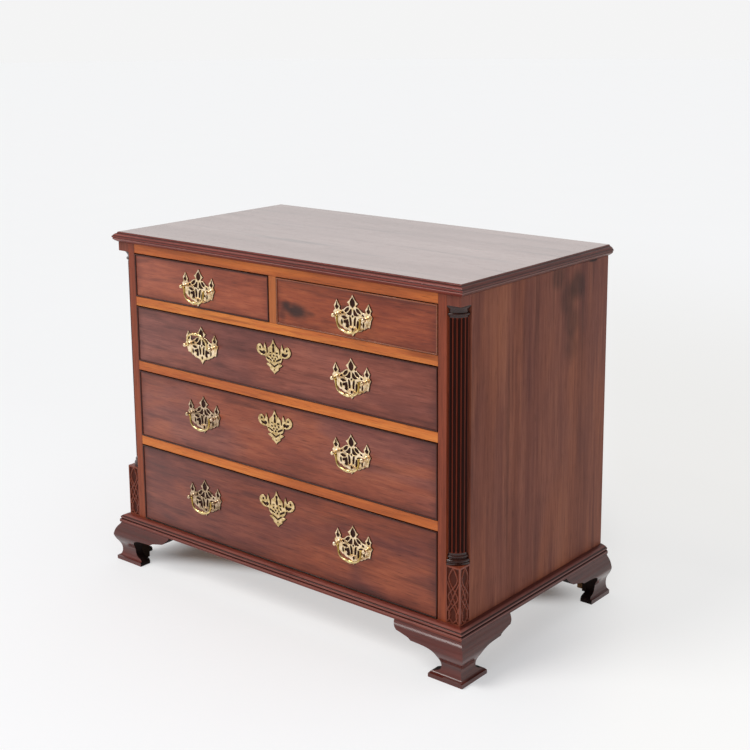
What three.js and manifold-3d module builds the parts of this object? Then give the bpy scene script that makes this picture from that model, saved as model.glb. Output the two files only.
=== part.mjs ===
import * as THREE from 'three';
import { mergeVertices } from 'three/addons/utils/BufferGeometryUtils.js';
import Module from 'manifold-3d';

// A flat-fronted mahogany chest: two short drawers over three long ones, a moulded top,
// fluted quarter columns set into the front corners, and ogee bracket feet.
// Millimetres, +Z up, the front faces -Y, and the origin is on the floor under the middle
// of the whole chest. Left and right are as seen by someone facing the front.

// Case
const caseWidth = 1000;
const caseDepth = 548;
const topRailHeight = 21;
const railHeight = 21.3;
const railDepth = 60;
const sideThickness = 18;
const backThickness = 12;
const dustBoardThickness = 12;
const guideHeight = 16;
const stileWidth = 20.5;
const cornerRecess = 34.5;
const postTongue = 15.5;
const dividerWidth = 21;
const plinthBlockHeight = 123.6;
const seam = 0.3;
const overrun = 2;

// Drawer openings, and how far below each opening's top its brass is centred
const shortOpeningHeight = 103.5;
const upperOpeningHeight = 134.5;
const middleOpeningHeight = 163.2;
const lowerOpeningHeight = 188.9;
const shortHandleDrop = 56;
const upperHandleDrop = 64.7;
const middleHandleDrop = 70.4;
const lowerHandleDrop = 86.9;
const handleOffset = 225;
// How far each handle was fitted to the right of its offset, and below its row's line
const handleShifts = {
  drawer_1_left: [-5.3, 1.4],
  drawer_1_right: [2, 0],
  drawer_2_left: [0.3, -0.4],
  drawer_2_right: [-3.2, 0],
  drawer_3_left: [0, 1.5],
  drawer_3_right: [-5.5, 1.8],
  drawer_4_left: [-4, 1],
  drawer_4_right: [-3, 0.8],
};
const upperEscutcheonDrop = 52.2;
const middleEscutcheonDrop = 54.9;
const lowerEscutcheonDrop = 58.9;
const upperEscutcheonTurn = 2.2;
const middleEscutcheonTurn = 3.4;
const lowerEscutcheonTurn = 2.6;

// Top board: overhang from the case and height above its underside, from the flat top down
const topThickness = 24;
const topOverhang = 11;
const topBackOverhang = 3;
const topProfileShares = [
  [-0.09, 1], [0.07, 0.967], [0.145, 0.917], [0.165, 0.87], [0.29, 0.842], [0.5, 0.8], [0.67, 0.733],
  [0.8, 0.667], [0.82, 0.633], [0.945, 0.608], [1, 0.554], [1, 0.48], [0.93, 0.438], [0.8, 0.412],
  [0.88, 0.375], [0.89, 0.325], [0.82, 0.267], [0.64, 0.183], [0.36, 0.092], [0.14, 0.025], [0.05, 0],
];

// Base moulding: a sloping band above two beads, with a groove above each bead
const baseMouldingHeight = 21;
const baseMouldingOverhang = 19;
const baseMouldingProfileShares = [
  [0.08, 1], [0.21, 0.97], [0.42, 0.915], [0.63, 0.85], [0.735, 0.8], [0.74, 0.76], [0.82, 0.73],
  [0.885, 0.675], [0.905, 0.61], [0.895, 0.525], [0.85, 0.455], [0.8, 0.425], [0.9, 0.39],
  [0.98, 0.345], [1, 0.265], [1, 0.05], [0.97, 0],
];

// Feet: how far the ogee stands out from the case at each height, and the bracket's lower edge
const footHeight = 95;
const footBulge = 30.5;
const footOgeeShares = [
  [0.52, 1], [0.62, 0.947], [0.75, 0.895], [0.85, 0.842], [0.92, 0.79], [0.965, 0.737], [1, 0.68],
  [0.97, 0.63], [0.905, 0.58], [0.82, 0.526], [0.715, 0.474], [0.625, 0.42], [0.565, 0.368],
  [0.535, 0.316], [0.525, 0.263], [0.535, 0.21], [0.585, 0.158], [0.65, 0.126], [0.755, 0.105],
  [0.84, 0.095], [0.84, 0],
];
const bracketLength = 165;
const bracketEdgeShares = [
  [0.94, 1], [0.935, 0.95], [0.9, 0.87], [0.86, 0.82], [0.76, 0.79], [0.66, 0.75], [0.62, 0.71],
  [0.46, 0.7], [0.36, 0.685], [0.29, 0.65], [0.245, 0.59], [0.215, 0.48], [0.2, 0.34],
  [0.21, 0.24], [0.245, 0.185], [0.31, 0.15], [0.35, 0.12], [0.365, 0.07], [0.365, 0],
];
const plainBracketEdgeShares = [[0.8, 1], [0.7, 0.75], [0.36, 0.42], [0.3, 0.1], [0.3, 0]];
const backFootExtra = 18;
const bracketThickness = 4;
const glueBlockSize = 30;

// Quarter columns: radius and height of each turned part, from the shaft outwards
const shaftRadius = 28;
const fluteCount = 5;
const fluteDepth = 2.2;
const fluteShares = [[0, 0], [0.14, 0], [0.32, 0.8], [0.5, 1], [0.68, 0.8], [0.86, 0]];
const capitalHeight = 20.5;
const capitalProfileShares = [
  [1, 0], [1.09, 0.04], [1.13, 0.13], [1.09, 0.22], [1, 0.27], [1, 0.4], [1.04, 0.58], [1.12, 0.76],
  [1.19, 0.9], [1.19, 1],
];
const columnBaseHeight = 20;
const columnBaseProfileShares = [
  [1.19, 0], [1.19, 0.18], [1.15, 0.21], [1.18, 0.3], [1.18, 0.44], [1.13, 0.53], [1.02, 0.58],
  [1.01, 0.7], [1.06, 0.74], [1.09, 0.83], [1.06, 0.92], [1, 1],
];
const columnFacets = 32;

// Drawers
const frontThickness = 20;
const faceSetback = 0.8;
const beadWidth = 3;
const beadStand = 2.4;
const gapAbove = 2;
const gapBeside = 1.5;
const gapBelow = 0.8;
const runningGap = 0.5;
const drawerBackGap = 15;
const drawerSideThickness = 10;
const drawerSideDrop = 8;
const drawerBottomThickness = 6;
const drawerBottomLift = 8;

// Pierced backplates: half outline and piercings in shares of half the width and the height
const plateHalfWidth = 53;
const plateHeight = 45;
const plateThickness = 1.6;
const plateOutlineShares = [
  [0, 1], [0.06, 0.8], [0.18, 0.65], [0.27, 0.6], [0.2, 0.52], [0.17, 0.44], [0.36, 0.42],
  [0.46, 0.33], [0.6, 0.23], [0.62, 0.3], [0.65, 0.42], [0.8, 0.67], [0.93, 0.47], [0.98, 0.37],
  [0.92, 0.14], [1, 0.03], [0.94, -0.14], [0.93, -0.24], [0.84, -0.36], [0.79, -0.44],
  [0.68, -0.5], [0.62, -0.58], [0.54, -0.55], [0.41, -0.64], [0.26, -0.66], [0.12, -0.76],
  [0.05, -0.84], [0, -0.94],
];
const platePiercingShares = [
  [[0, 0.82], [0.13, 0.6], [0.13, 0.5], [0, 0.37]],
  [[0.8, 0.58], [0.9, 0.37], [0.8, 0.21], [0.71, 0.37]],
  [[0.17, 0.37], [0.29, 0.36], [0.4, 0.23], [0.41, 0.13], [0.25, 0.19]],
  [[0.06, 0.28], [0.13, 0.28], [0.24, 0.1], [0.06, 0.05]],
  [[0.11, -0.13], [0.16, -0.11], [0.12, -0.46], [0.07, -0.46]],
  [[0.24, -0.22], [0.29, -0.25], [0.27, -0.56], [0.2, -0.6]],
  [[0.33, -0.08], [0.43, -0.04], [0.52, -0.1], [0.43, -0.15]],
];

// Bails and the posts that carry them
const postSpacing = 81;
const postStemRadius = 3.2;
const postBallRadius = 5;
const pivotStand = 13;
const pinRadius = 1.7;
const pinClearance = 0.4;
const pinDepth = 3.6;
const bailHalfWidth = 31;
const bailDrop = 31;
const bailRadius = 2.5;
const bailSwell = 3.8;
const bailPathShares = [
  [1, 0.07], [1, -0.2], [0.97, -0.45], [0.86, -0.7], [0.64, -0.88], [0.34, -0.97], [0, -1],
];
const bailFacets = 8;
const bailSteps = 12;
const raisedBailAngle = 172;

// Escutcheons and locks
const escutcheonHalfWidth = 52;
const escutcheonHeight = 39;
const escutcheonOutlineShares = [
  [0, 1], [0.06, 0.86], [0.13, 0.76], [0.15, 0.66], [0.23, 0.57], [0.25, 0.47], [0.35, 0.44],
  [0.39, 0.33], [0.47, 0.36], [0.52, 0.52], [0.57, 0.65], [0.61, 0.5], [0.63, 0.36], [0.7, 0.4],
  [0.78, 0.5], [0.88, 0.47], [0.97, 0.34], [1, 0.16], [0.96, -0.02], [0.85, -0.14], [0.7, -0.16],
  [0.56, -0.12], [0.52, -0.24], [0.53, -0.34], [0.46, -0.44], [0.48, -0.53], [0.44, -0.68],
  [0.38, -0.74], [0.31, -0.67], [0.23, -0.78], [0.14, -0.86], [0.07, -0.94], [0, -1.02],
];
const escutcheonPiercingShares = [
  [[0, 0.74], [0.04, 0.7], [0.04, 0.45], [0.055, 0.34], [0, 0.28]],
  [[0, 0.1], [0.05, 0.01], [0, -0.09]],
  [[0.1, -0.05], [0.15, -0.14], [0.1, -0.24], [0.05, -0.14]],
  [[0, -0.22], [0.05, -0.31], [0, -0.4]],
  [[0.36, -0.02], [0.4, -0.08], [0.28, -0.36], [0.22, -0.36]],
  [[0.3, -0.5], [0.33, -0.56], [0.08, -0.84], [0.04, -0.74]],
  [[0.74, 0.2], [0.86, 0.26], [0.9, 0.12], [0.78, 0.02]],
];
const keyholeRise = 20;
const keySlotWidth = 5;
const keySlotHeight = 16;
const lockWidth = 62;
const lockHeight = 46;
const lockDepth = 12;
const boltWidth = 20;
const boltThickness = 6;
const boltHeight = 24;
const boltThrow = 8;
const boltClearance = 0.5;
const boltInset = 0.5;
const boltMortiseMargin = 2;

const wasm = await Module();
wasm.setup();

// Rows of drawers from the top down; the top row is two short drawers side by side
const rows = [
  { openingHeight: shortOpeningHeight, handleDrop: shortHandleDrop },
  {
    openingHeight: upperOpeningHeight,
    handleDrop: upperHandleDrop,
    escutcheonDrop: upperEscutcheonDrop,
    escutcheonTurn: upperEscutcheonTurn,
  },
  {
    openingHeight: middleOpeningHeight,
    handleDrop: middleHandleDrop,
    escutcheonDrop: middleEscutcheonDrop,
    escutcheonTurn: middleEscutcheonTurn,
  },
  {
    openingHeight: lowerOpeningHeight,
    handleDrop: lowerHandleDrop,
    escutcheonDrop: lowerEscutcheonDrop,
    escutcheonTurn: lowerEscutcheonTurn,
  },
];

// Levels and places worked out from the sizes above
const baseLine = footHeight + baseMouldingHeight;
const openingsTotal = rows.reduce((sum, row) => sum + row.openingHeight, 0);
const caseTop = baseLine + openingsTotal + (rows.length - 1) * railHeight + topRailHeight;
const halfWidth = caseWidth / 2;
const stileFace = halfWidth - cornerRecess;
const openingEdge = stileFace - stileWidth;
const postDepth = cornerRecess + postTongue;
const innerSide = halfWidth - sideThickness;
const backFace = caseDepth - backThickness;
const plateBack = faceSetback - seam;
const plateFace = plateBack - plateThickness;
const pivotPlane = plateFace - pivotStand;
const frontBack = faceSetback + frontThickness;
const drawerEnd = backFace - drawerBackGap;
const boltMortiseDepth = boltThrow - gapAbove - boltInset + boltMortiseMargin;
let level = caseTop - topRailHeight;
for (const row of rows) {
  row.top = level;
  row.bottom = level - row.openingHeight;
  level = row.bottom - railHeight;
}

// Geometry helpers
function block(x, y, z) {
  const geometry = new THREE.BoxGeometry(x[1] - x[0], y[1] - y[0], z[1] - z[0]);
  return geometry.translate((x[0] + x[1]) / 2, (y[0] + y[1]) / 2, (z[0] + z[1]) / 2);
}

function shapeOf(points) {
  return new THREE.Shape(points.map(([a, b]) => new THREE.Vector2(a, b)));
}

// Extrudes a shape along x (drawn in y, z), y (drawn in x, z) or z (drawn in x, y)
function prism(shape, axis, from, to) {
  const geometry = new THREE.ExtrudeGeometry(shape, { depth: to - from, bevelEnabled: false });
  const x = new THREE.Vector3(1, 0, 0);
  const y = new THREE.Vector3(0, 1, 0);
  const z = new THREE.Vector3(0, 0, 1);
  const turn = new THREE.Matrix4();
  if (axis === 'x') turn.makeBasis(y, z, x).setPosition(from, 0, 0);
  if (axis === 'y') turn.makeBasis(x, z, y.negate()).setPosition(0, to, 0);
  if (axis === 'z') turn.setPosition(0, 0, from);
  return geometry.applyMatrix4(turn);
}

function solid(geometry) {
  const bare = geometry.clone();
  bare.deleteAttribute('normal');
  bare.deleteAttribute('uv');
  const merged = mergeVertices(bare);
  return new wasm.Manifold(new wasm.Mesh({
    numProp: 3,
    vertProperties: new Float32Array(merged.attributes.position.array),
    triVerts: new Uint32Array(merged.index.array),
  }));
}

function surface(body) {
  const mesh = body.getMesh();
  const geometry = new THREE.BufferGeometry();
  geometry.setAttribute('position', new THREE.BufferAttribute(mesh.vertProperties, 3));
  geometry.setIndex(new THREE.BufferAttribute(mesh.triVerts, 1));
  const faceted = geometry.toNonIndexed();
  faceted.computeVertexNormals();
  return faceted;
}

// The same piece on the other side of the chest, with its faces still pointing out
function mirrored(geometry) {
  const flat = geometry.index ? geometry.toNonIndexed() : geometry.clone();
  flat.scale(-1, 1, 1);
  const position = flat.attributes.position;
  const corner = new THREE.Vector3();
  const swap = new THREE.Vector3();
  for (let i = 0; i < position.count; i += 3) {
    corner.fromBufferAttribute(position, i + 1);
    swap.fromBufferAttribute(position, i + 2);
    position.setXYZ(i + 1, swap.x, swap.y, swap.z);
    position.setXYZ(i + 2, corner.x, corner.y, corner.z);
  }
  flat.computeVertexNormals();
  return flat;
}

// Materials: polished mahogany in the shades of its several pieces, plain softwood and brass
function timber(color, roughness) {
  return new THREE.MeshStandardMaterial({ color, roughness, metalness: 0 });
}

function brass() {
  return new THREE.MeshStandardMaterial({ color: 0xc9b27a, roughness: 0.3, metalness: 1 });
}

const finishes = {
  top: () => timber(0x8d4f36, 0.2),
  panel: () => timber(0x6f463c, 0.35),
  stile: () => timber(0x9a5a40, 0.35),
  rail: () => timber(0xb5683f, 0.35),
  drawerFront: () => timber(0x8a4d3c, 0.3),
  column: () => timber(0x3a1c13, 0.4),
  moulding: () => timber(0x7a4238, 0.25),
  inside: () => timber(0xa98a62, 0.8),
  brass,
};
const chest = new THREE.Group();

function add(parent, name, geometry, finish, place = [0, 0, 0]) {
  const mesh = new THREE.Mesh(geometry, finishes[finish]());
  mesh.name = name;
  mesh.position.set(...place);
  parent.add(mesh);
  return mesh;
}

// A moulded section carried round the front and both sides, with mitred corners
function overhangs(shares, overhang, foot, height) {
  return shares.map(([out, up]) => [out * overhang, foot + up * height]);
}

function mouldedFront(section, reach, backEdge = caseDepth) {
  const outline = section.map(([out, z]) => [-out, z]);
  const behind = [[backEdge, section.at(-1)[1]], [backEdge, section[0][1]]];
  return prism(shapeOf([...outline, ...behind]), 'x', -reach, reach);
}

function mouldedSide(section, fromY, toY, innerEdge = -halfWidth) {
  const outline = section.map(([out, z]) => [halfWidth + out, z]);
  const inner = [[innerEdge, section.at(-1)[1]], [innerEdge, section[0][1]]];
  return prism(shapeOf([...outline, ...inner]), 'y', fromY, toY);
}

function topBoard() {
  const under = caseTop + seam;
  const depth = topThickness - seam;
  const section = topProfileShares.map(([out, up]) => [out * topOverhang, under + up * depth]);
  const reach = halfWidth + topOverhang + overrun;
  const backEdge = caseDepth + topBackOverhang;
  const front = solid(mouldedFront(section, reach, backEdge));
  const side = mouldedSide(section, -topOverhang - overrun, backEdge, -reach);
  return surface(front.intersect(solid(side)).intersect(solid(mirrored(side))));
}

// Base moulding in three lengths, mitred where they meet at the front corners
function baseMoulding() {
  const section = overhangs(baseMouldingProfileShares, baseMouldingOverhang, footHeight + seam,
    baseMouldingHeight - seam);
  const reach = halfWidth + baseMouldingOverhang + overrun;
  const out = baseMouldingOverhang + overrun;
  const frontPlan = shapeOf([
    [-halfWidth, -seam], [-halfWidth - out, -out - seam], [halfWidth + out, -out - seam], [halfWidth, -seam],
  ]);
  const sidePlan = shapeOf([
    [halfWidth + seam, 0], [halfWidth + seam + out, -out], [halfWidth + seam + out, caseDepth],
    [halfWidth + seam, caseDepth],
  ]);
  const frontStock = solid(mouldedFront(section, reach));
  const sideStock = solid(mouldedSide(section, -reach, caseDepth));
  const front = frontStock.intersect(solid(prism(frontPlan, 'z', footHeight, baseLine)));
  const side = surface(sideStock.intersect(solid(prism(sidePlan, 'z', footHeight, baseLine))));
  add(chest, 'base_moulding_front', surface(front), 'moulding');
  add(chest, 'base_moulding_right', side, 'moulding');
  add(chest, 'base_moulding_left', mirrored(side), 'moulding');
}

// One ogee bracket foot at the right-hand front corner; its inner corner holds a glue block
function bracketOutline(shares, corner, direction) {
  const beyond = corner - direction * (footBulge + overrun);
  const edge = shares.map(([along, up]) => [corner + direction * along * bracketLength, up * footHeight]);
  return shapeOf([[beyond, footHeight], ...edge, [beyond, 0]]);
}

function frontFoot() {
  const section = overhangs(footOgeeShares, footBulge, 0, footHeight);
  const reach = halfWidth + footBulge + overrun;
  const far = bracketLength + overrun;
  const corner = solid(mouldedFront(section, reach)).intersect(solid(mouldedSide(section, -reach, far)));
  const frontStrip = block([halfWidth - far, reach], [-reach, bracketThickness], [0, footHeight]);
  const sideStrip = block([halfWidth - bracketThickness, reach], [-reach, far], [0, footHeight]);
  const frontEdge = prism(bracketOutline(bracketEdgeShares, halfWidth, -1), 'y', -reach, far);
  const sideEdge = prism(bracketOutline(bracketEdgeShares, 0, 1), 'x', -reach, reach);
  const glueBlock = block([halfWidth - glueBlockSize, halfWidth - bracketThickness / 2],
    [bracketThickness / 2, glueBlockSize], [seam, footHeight]);
  const frontPart = corner.intersect(solid(frontStrip)).intersect(solid(frontEdge));
  const sidePart = corner.intersect(solid(sideStrip)).intersect(solid(sideEdge));
  return surface(frontPart.add(sidePart).add(solid(glueBlock)));
}

// The back foot has the ogee on its side only; its rear bracket is a plain flat board
function backFoot() {
  const section = overhangs(footOgeeShares, footBulge, 0, footHeight);
  const reach = halfWidth + footBulge + overrun;
  const front = caseDepth - backFootExtra - bracketLength - overrun;
  const ogee = solid(mouldedSide(section, front, caseDepth));
  const sideStrip = block([halfWidth - bracketThickness, reach], [front, caseDepth], [0, footHeight]);
  const sideEdge = prism(bracketOutline(bracketEdgeShares, caseDepth - backFootExtra, -1), 'x',
    -reach, reach);
  const rearBoard = prism(bracketOutline(plainBracketEdgeShares, halfWidth, -1), 'y',
    caseDepth - sideThickness, caseDepth);
  const glueBlock = block([halfWidth - glueBlockSize, halfWidth - bracketThickness / 2],
    [caseDepth - glueBlockSize, caseDepth - bracketThickness / 2], [seam, footHeight]);
  const sidePart = ogee.intersect(solid(sideStrip)).intersect(solid(sideEdge));
  const rearPart = ogee.intersect(solid(rearBoard));
  return surface(sidePart.add(rearPart).add(solid(glueBlock)));
}

function feet() {
  const front = frontFoot();
  const back = backFoot();
  add(chest, 'foot_front_right', front, 'moulding');
  add(chest, 'foot_front_left', mirrored(front), 'moulding');
  add(chest, 'foot_back_right', back, 'moulding');
  add(chest, 'foot_back_left', mirrored(back), 'moulding');
}

// Corner posts: the stile, with the plinth block and frieze block left square beyond it
function cornerPost() {
  const plan = shapeOf([
    [openingEdge, 0], [stileFace, 0], [stileFace, cornerRecess], [innerSide, cornerRecess],
    [innerSide, postDepth], [openingEdge, postDepth],
  ]);
  const foot = footHeight + seam;
  const stile = solid(prism(plan, 'z', foot, caseTop));
  const inside = stileFace - stileWidth / 2;
  const plinthTop = baseLine + plinthBlockHeight;
  const plinth = solid(block([inside, halfWidth], [0, cornerRecess], [foot, plinthTop]));
  const frieze = solid(block([inside, halfWidth], [0, cornerRecess], [caseTop - topRailHeight, caseTop]));
  return surface(stile.add(plinth).add(frieze));
}

// Fluted quarter column standing in the corner recess, turned parts above and below the flutes
function flutedQuarter(radius) {
  const shape = new THREE.Shape();
  const pitch = Math.PI / 2 / fluteCount;
  shape.moveTo(0, 0);
  for (let i = 0; i < fluteCount; i += 1) {
    const start = -Math.PI / 2 + i * pitch;
    for (const [along, deep] of fluteShares) {
      const angle = start + along * pitch;
      const r = radius - deep * fluteDepth;
      shape.lineTo(r * Math.cos(angle), r * Math.sin(angle));
    }
  }
  shape.lineTo(radius, 0);
  return shape;
}

function quarterTurned(profileShares, height, foot) {
  const profile = profileShares.map(([out, up]) => new THREE.Vector2(out * shaftRadius, up * height));
  const axisEnds = [new THREE.Vector2(0, height), new THREE.Vector2(0, 0)];
  const closed = [axisEnds[1], ...profile, axisEnds[0]];
  const turned = new THREE.LatheGeometry(closed, columnFacets).rotateX(Math.PI / 2);
  const widest = Math.max(...profile.map((point) => point.x)) + overrun;
  const quarter = solid(block([0, widest], [-widest, 0], [0, height]));
  return solid(turned).intersect(quarter).translate([0, 0, foot]);
}

function column() {
  const foot = baseLine + plinthBlockHeight + seam;
  const head = caseTop - topRailHeight - seam;
  const shaft = solid(prism(flutedQuarter(shaftRadius), 'z', foot + columnBaseHeight / 2,
    head - capitalHeight / 2));
  const base = quarterTurned(columnBaseProfileShares, columnBaseHeight, foot);
  const capital = quarterTurned(capitalProfileShares, capitalHeight, head - capitalHeight);
  return surface(shaft.add(base).add(capital));
}

function corners() {
  const post = cornerPost();
  const shaft = column().translate(stileFace + seam, cornerRecess - seam, 0);
  add(chest, 'corner_post_right', post, 'stile');
  add(chest, 'corner_post_left', mirrored(post), 'stile');
  add(chest, 'quarter_column_right', shaft, 'column');
  add(chest, 'quarter_column_left', mirrored(shaft), 'column');
}

// Sides, back and bottom of the case
function carcass() {
  const foot = footHeight + seam;
  const side = block([innerSide + seam, halfWidth], [cornerRecess + seam, caseDepth], [foot, caseTop]);
  add(chest, 'side_panel_right', side, 'panel');
  add(chest, 'side_panel_left', mirrored(side), 'panel');
  const across = [-innerSide, innerSide];
  add(chest, 'back_panel', block(across, [backFace, caseDepth], [foot, caseTop]), 'inside');
  const behind = [postDepth + seam, backFace - seam];
  const mouth = openingEdge - seam;
  const wide = solid(block(across, behind, [foot, baseLine]));
  const tongue = solid(block([-mouth, mouth], [0, postDepth + overrun], [foot, baseLine]));
  add(chest, 'bottom_board', surface(wide.add(tongue).add(guides(baseLine))), 'inside');
}

// Strips on each side of a runner board that keep its drawer straight behind the corner posts
function guides(floor) {
  const along = [postDepth + seam, backFace - seam];
  const height = [floor - dustBoardThickness / 2, floor + guideHeight];
  const right = solid(block([openingEdge, innerSide], along, height));
  return right.add(solid(block([-innerSide, -openingEdge], along, height)));
}

// Rails between the drawers, with dust boards behind them
function rails() {
  const reach = openingEdge - seam;
  const top = [rows[0].top, caseTop];
  add(chest, 'top_rail', block([-reach, reach], [0, railDepth], top), 'rail');
  const names = ['upper', 'middle', 'lower'];
  names.forEach((name, i) => {
    const above = rows[i];
    const z = [above.bottom - railHeight, above.bottom];
    const rail = solid(block([-reach, reach], [0, railDepth], z));
    add(chest, `rail_${name}`, surface(rail.subtract(boltMortise(z[0]))), 'rail');
    const board = block([-innerSide, innerSide], [railDepth + seam, backFace - seam],
      [above.bottom - dustBoardThickness, above.bottom]);
    const strips = guides(above.bottom).subtract(solid(block([-halfWidth, halfWidth], [0, railDepth + seam],
      [z[0], above.top])));
    add(chest, `dust_board_${name}`, surface(solid(board).add(strips)), 'inside');
  });
  const divider = block([-dividerWidth / 2, dividerWidth / 2], [0, backFace - seam],
    [rows[0].bottom + seam, rows[0].top - seam]);
  add(chest, 'short_drawer_divider', divider, 'rail');
}

function boltMortise(underside) {
  const half = boltWidth / 2 + boltMortiseMargin;
  const boltFront = frontBack - seam - boltThickness - boltMortiseMargin;
  return solid(block([-half, half], [boltFront, frontBack + boltMortiseMargin],
    [underside - overrun, underside + boltMortiseDepth]));
}

// Pierced brass plates: the outline and each piercing are drawn on one side and mirrored
function mirroredRing(half) {
  const across = half.filter(([a]) => a > 0).map(([a, b]) => [-a, b]);
  return [...half, ...across.reverse()];
}

function piercedPlate(outlineShares, piercingShares, halfSpan, height) {
  const scaled = (points) => points.map(([a, b]) => [a * halfSpan, b * height]);
  const flipped = (points) => points.map(([a, b]) => [-a, b]);
  let plate = solid(prism(shapeOf(mirroredRing(scaled(outlineShares))), 'y', -plateThickness, 0));
  for (const shares of piercingShares) {
    const points = scaled(shares);
    const rings = points[0][0] === 0 ? [mirroredRing(points)] : [points, flipped(points)];
    for (const ring of rings) {
      plate = plate.subtract(solid(prism(shapeOf(ring), 'y', -plateThickness - overrun, overrun)));
    }
  }
  return plate;
}

// A turned post with a bored ball at its end; y runs from the plate's back to the ball
function bailPost(side) {
  const profile = [[0, 0], [postStemRadius * 1.5, 0], [postStemRadius, pivotStand / 3]];
  const steps = 4;
  const joint = Math.asin(postStemRadius / postBallRadius);
  for (let i = 0; i <= steps; i += 1) {
    const angle = Math.PI - joint - (i / steps) * (Math.PI - joint);
    const along = pivotStand + plateThickness / 2 + postBallRadius * -Math.cos(Math.PI - angle);
    profile.push([postBallRadius * Math.sin(angle), along]);
  }
  const points = profile.map(([r, along]) => new THREE.Vector2(r, along));
  points.at(-1).x = 0;
  const post = new THREE.LatheGeometry(points, 8).rotateX(Math.PI);
  post.translate(side * postSpacing / 2, -plateThickness / 2, 0);
  const bore = new THREE.CylinderGeometry(pinRadius + pinClearance, pinRadius + pinClearance,
    postBallRadius + overrun, bailFacets);
  bore.rotateZ(Math.PI / 2);
  const boreEnd = postSpacing / 2 - postBallRadius + pinDepth + pinClearance;
  const bored = side * (boreEnd - (postBallRadius + overrun) / 2);
  bore.translate(bored, -plateThickness - pivotStand, 0);
  return solid(post).subtract(solid(bore));
}

function backplate() {
  const plate = piercedPlate(plateOutlineShares, platePiercingShares, plateHalfWidth, plateHeight);
  return surface(plate.add(bailPost(1)).add(bailPost(-1)));
}

// A bail: a bent rod thickened at the middle, with a pin turned out at each end
function bail() {
  const half = bailPathShares.map(([a, b]) => new THREE.Vector3(a * bailHalfWidth, 0, b * bailDrop));
  const other = half.slice(0, -1).reverse().map((point) => new THREE.Vector3(-point.x, 0, point.z));
  const path = new THREE.CatmullRomCurve3([...half, ...other]);
  const section = new THREE.Shape();
  for (let i = 0; i < bailFacets; i += 1) {
    const angle = (i / bailFacets) * 2 * Math.PI;
    const corner = [bailRadius * Math.cos(angle), bailRadius * Math.sin(angle)];
    if (i === 0) section.moveTo(...corner);
    else section.lineTo(...corner);
  }
  const rod = new THREE.ExtrudeGeometry(section, { steps: bailSteps, extrudePath: path });
  const swell = new THREE.SphereGeometry(bailSwell, bailFacets, 4);
  swell.rotateZ(Math.PI / 2).scale(2, 1, 1).translate(0, 0, -bailDrop);
  let whole = solid(rod).add(solid(swell));
  const pinEnd = postSpacing / 2 - postBallRadius + pinDepth;
  const length = pinEnd - bailHalfWidth;
  for (const side of [1, -1]) {
    const pin = new THREE.CylinderGeometry(pinRadius, pinRadius, length, bailFacets);
    pin.rotateZ(Math.PI / 2).translate(side * (bailHalfWidth + length / 2), 0, 0);
    whole = whole.add(solid(pin));
  }
  return surface(whole);
}

// Drawer locks, let into the back of the front, and the bolt that rises out of them
function lockParts(row) {
  const top = row.top - gapAbove;
  const face = frontBack - seam;
  const z = [top - lockHeight, top - seam];
  const boltX = [-boltWidth / 2, boltWidth / 2];
  const boltY = [face - boltThickness - boltClearance, face - boltClearance];
  const boltZ = [top - boltInset - boltHeight, top - boltInset];
  const grow = (span) => [span[0] - boltClearance, span[1] + boltClearance];
  const body = solid(block([-lockWidth / 2, lockWidth / 2], [face - lockDepth, face], z));
  const channel = solid(block(grow(boltX), [boltY[0] - boltClearance, face + overrun],
    [boltZ[0] - boltClearance, top + overrun]));
  const keyX = [-keySlotWidth / 2, keySlotWidth / 2];
  const keyZ = keySpan(row);
  const keyway = solid(block(keyX, [face - lockDepth - overrun, boltY[0] - boltClearance * 2], keyZ));
  return {
    lock: surface(body.subtract(channel).subtract(keyway)),
    bolt: block(boltX, boltY, boltZ),
    pocket: solid(block([-lockWidth / 2 - seam, lockWidth / 2 + seam], [face - lockDepth - seam,
      frontBack + overrun], [z[0] - seam, top + overrun])),
    keySlot: solid(block(keyX, [faceSetback - overrun, face - lockDepth], keyZ)),
  };
}

function keySpan(row) {
  const centre = row.top - row.escutcheonDrop + keyholeRise;
  return [centre - keySlotHeight / 2, centre + keySlotHeight / 2];
}

// A drawer front with its cock bead: a thin raised edge all the way round
function drawerFront(x, z) {
  const board = block(x, [faceSetback, frontBack], z);
  const bead = block(x, [faceSetback - beadStand, faceSetback + overrun], z);
  const field = block([x[0] + beadWidth, x[1] - beadWidth],
    [faceSetback - beadStand - overrun, faceSetback + overrun * 2],
    [z[0] + beadWidth, z[1] - beadWidth]);
  return solid(board).add(solid(bead).subtract(solid(field)));
}

// The box behind a front: two sides, a back and a bottom let in above their lower edges
function drawerBox(x, z) {
  const front = frontBack + seam;
  const inner = [x[0] + drawerSideThickness, x[1] - drawerSideThickness];
  const backInner = drawerEnd - drawerSideThickness;
  const floor = z[0] + drawerBottomLift + drawerBottomThickness;
  const shell = solid(block(x, [front, drawerEnd], z));
  const inside = solid(block(inner, [front - overrun, backInner], [floor, z[1] + overrun]));
  const under = solid(block(inner, [front - overrun, drawerEnd + overrun],
    [z[0] - overrun, z[0] + drawerBottomLift]));
  return surface(shell.subtract(inside).subtract(under));
}

function handle(parent, name, x, z, raised) {
  add(parent, `${name}_backplate`, backplate(), 'brass', [x, plateBack, z]);
  const swing = add(parent, `${name}_bail`, bail(), 'brass', [x, pivotPlane, z]);
  if (raised) swing.rotation.x = -THREE.MathUtils.degToRad(raisedBailAngle);
}

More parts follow.
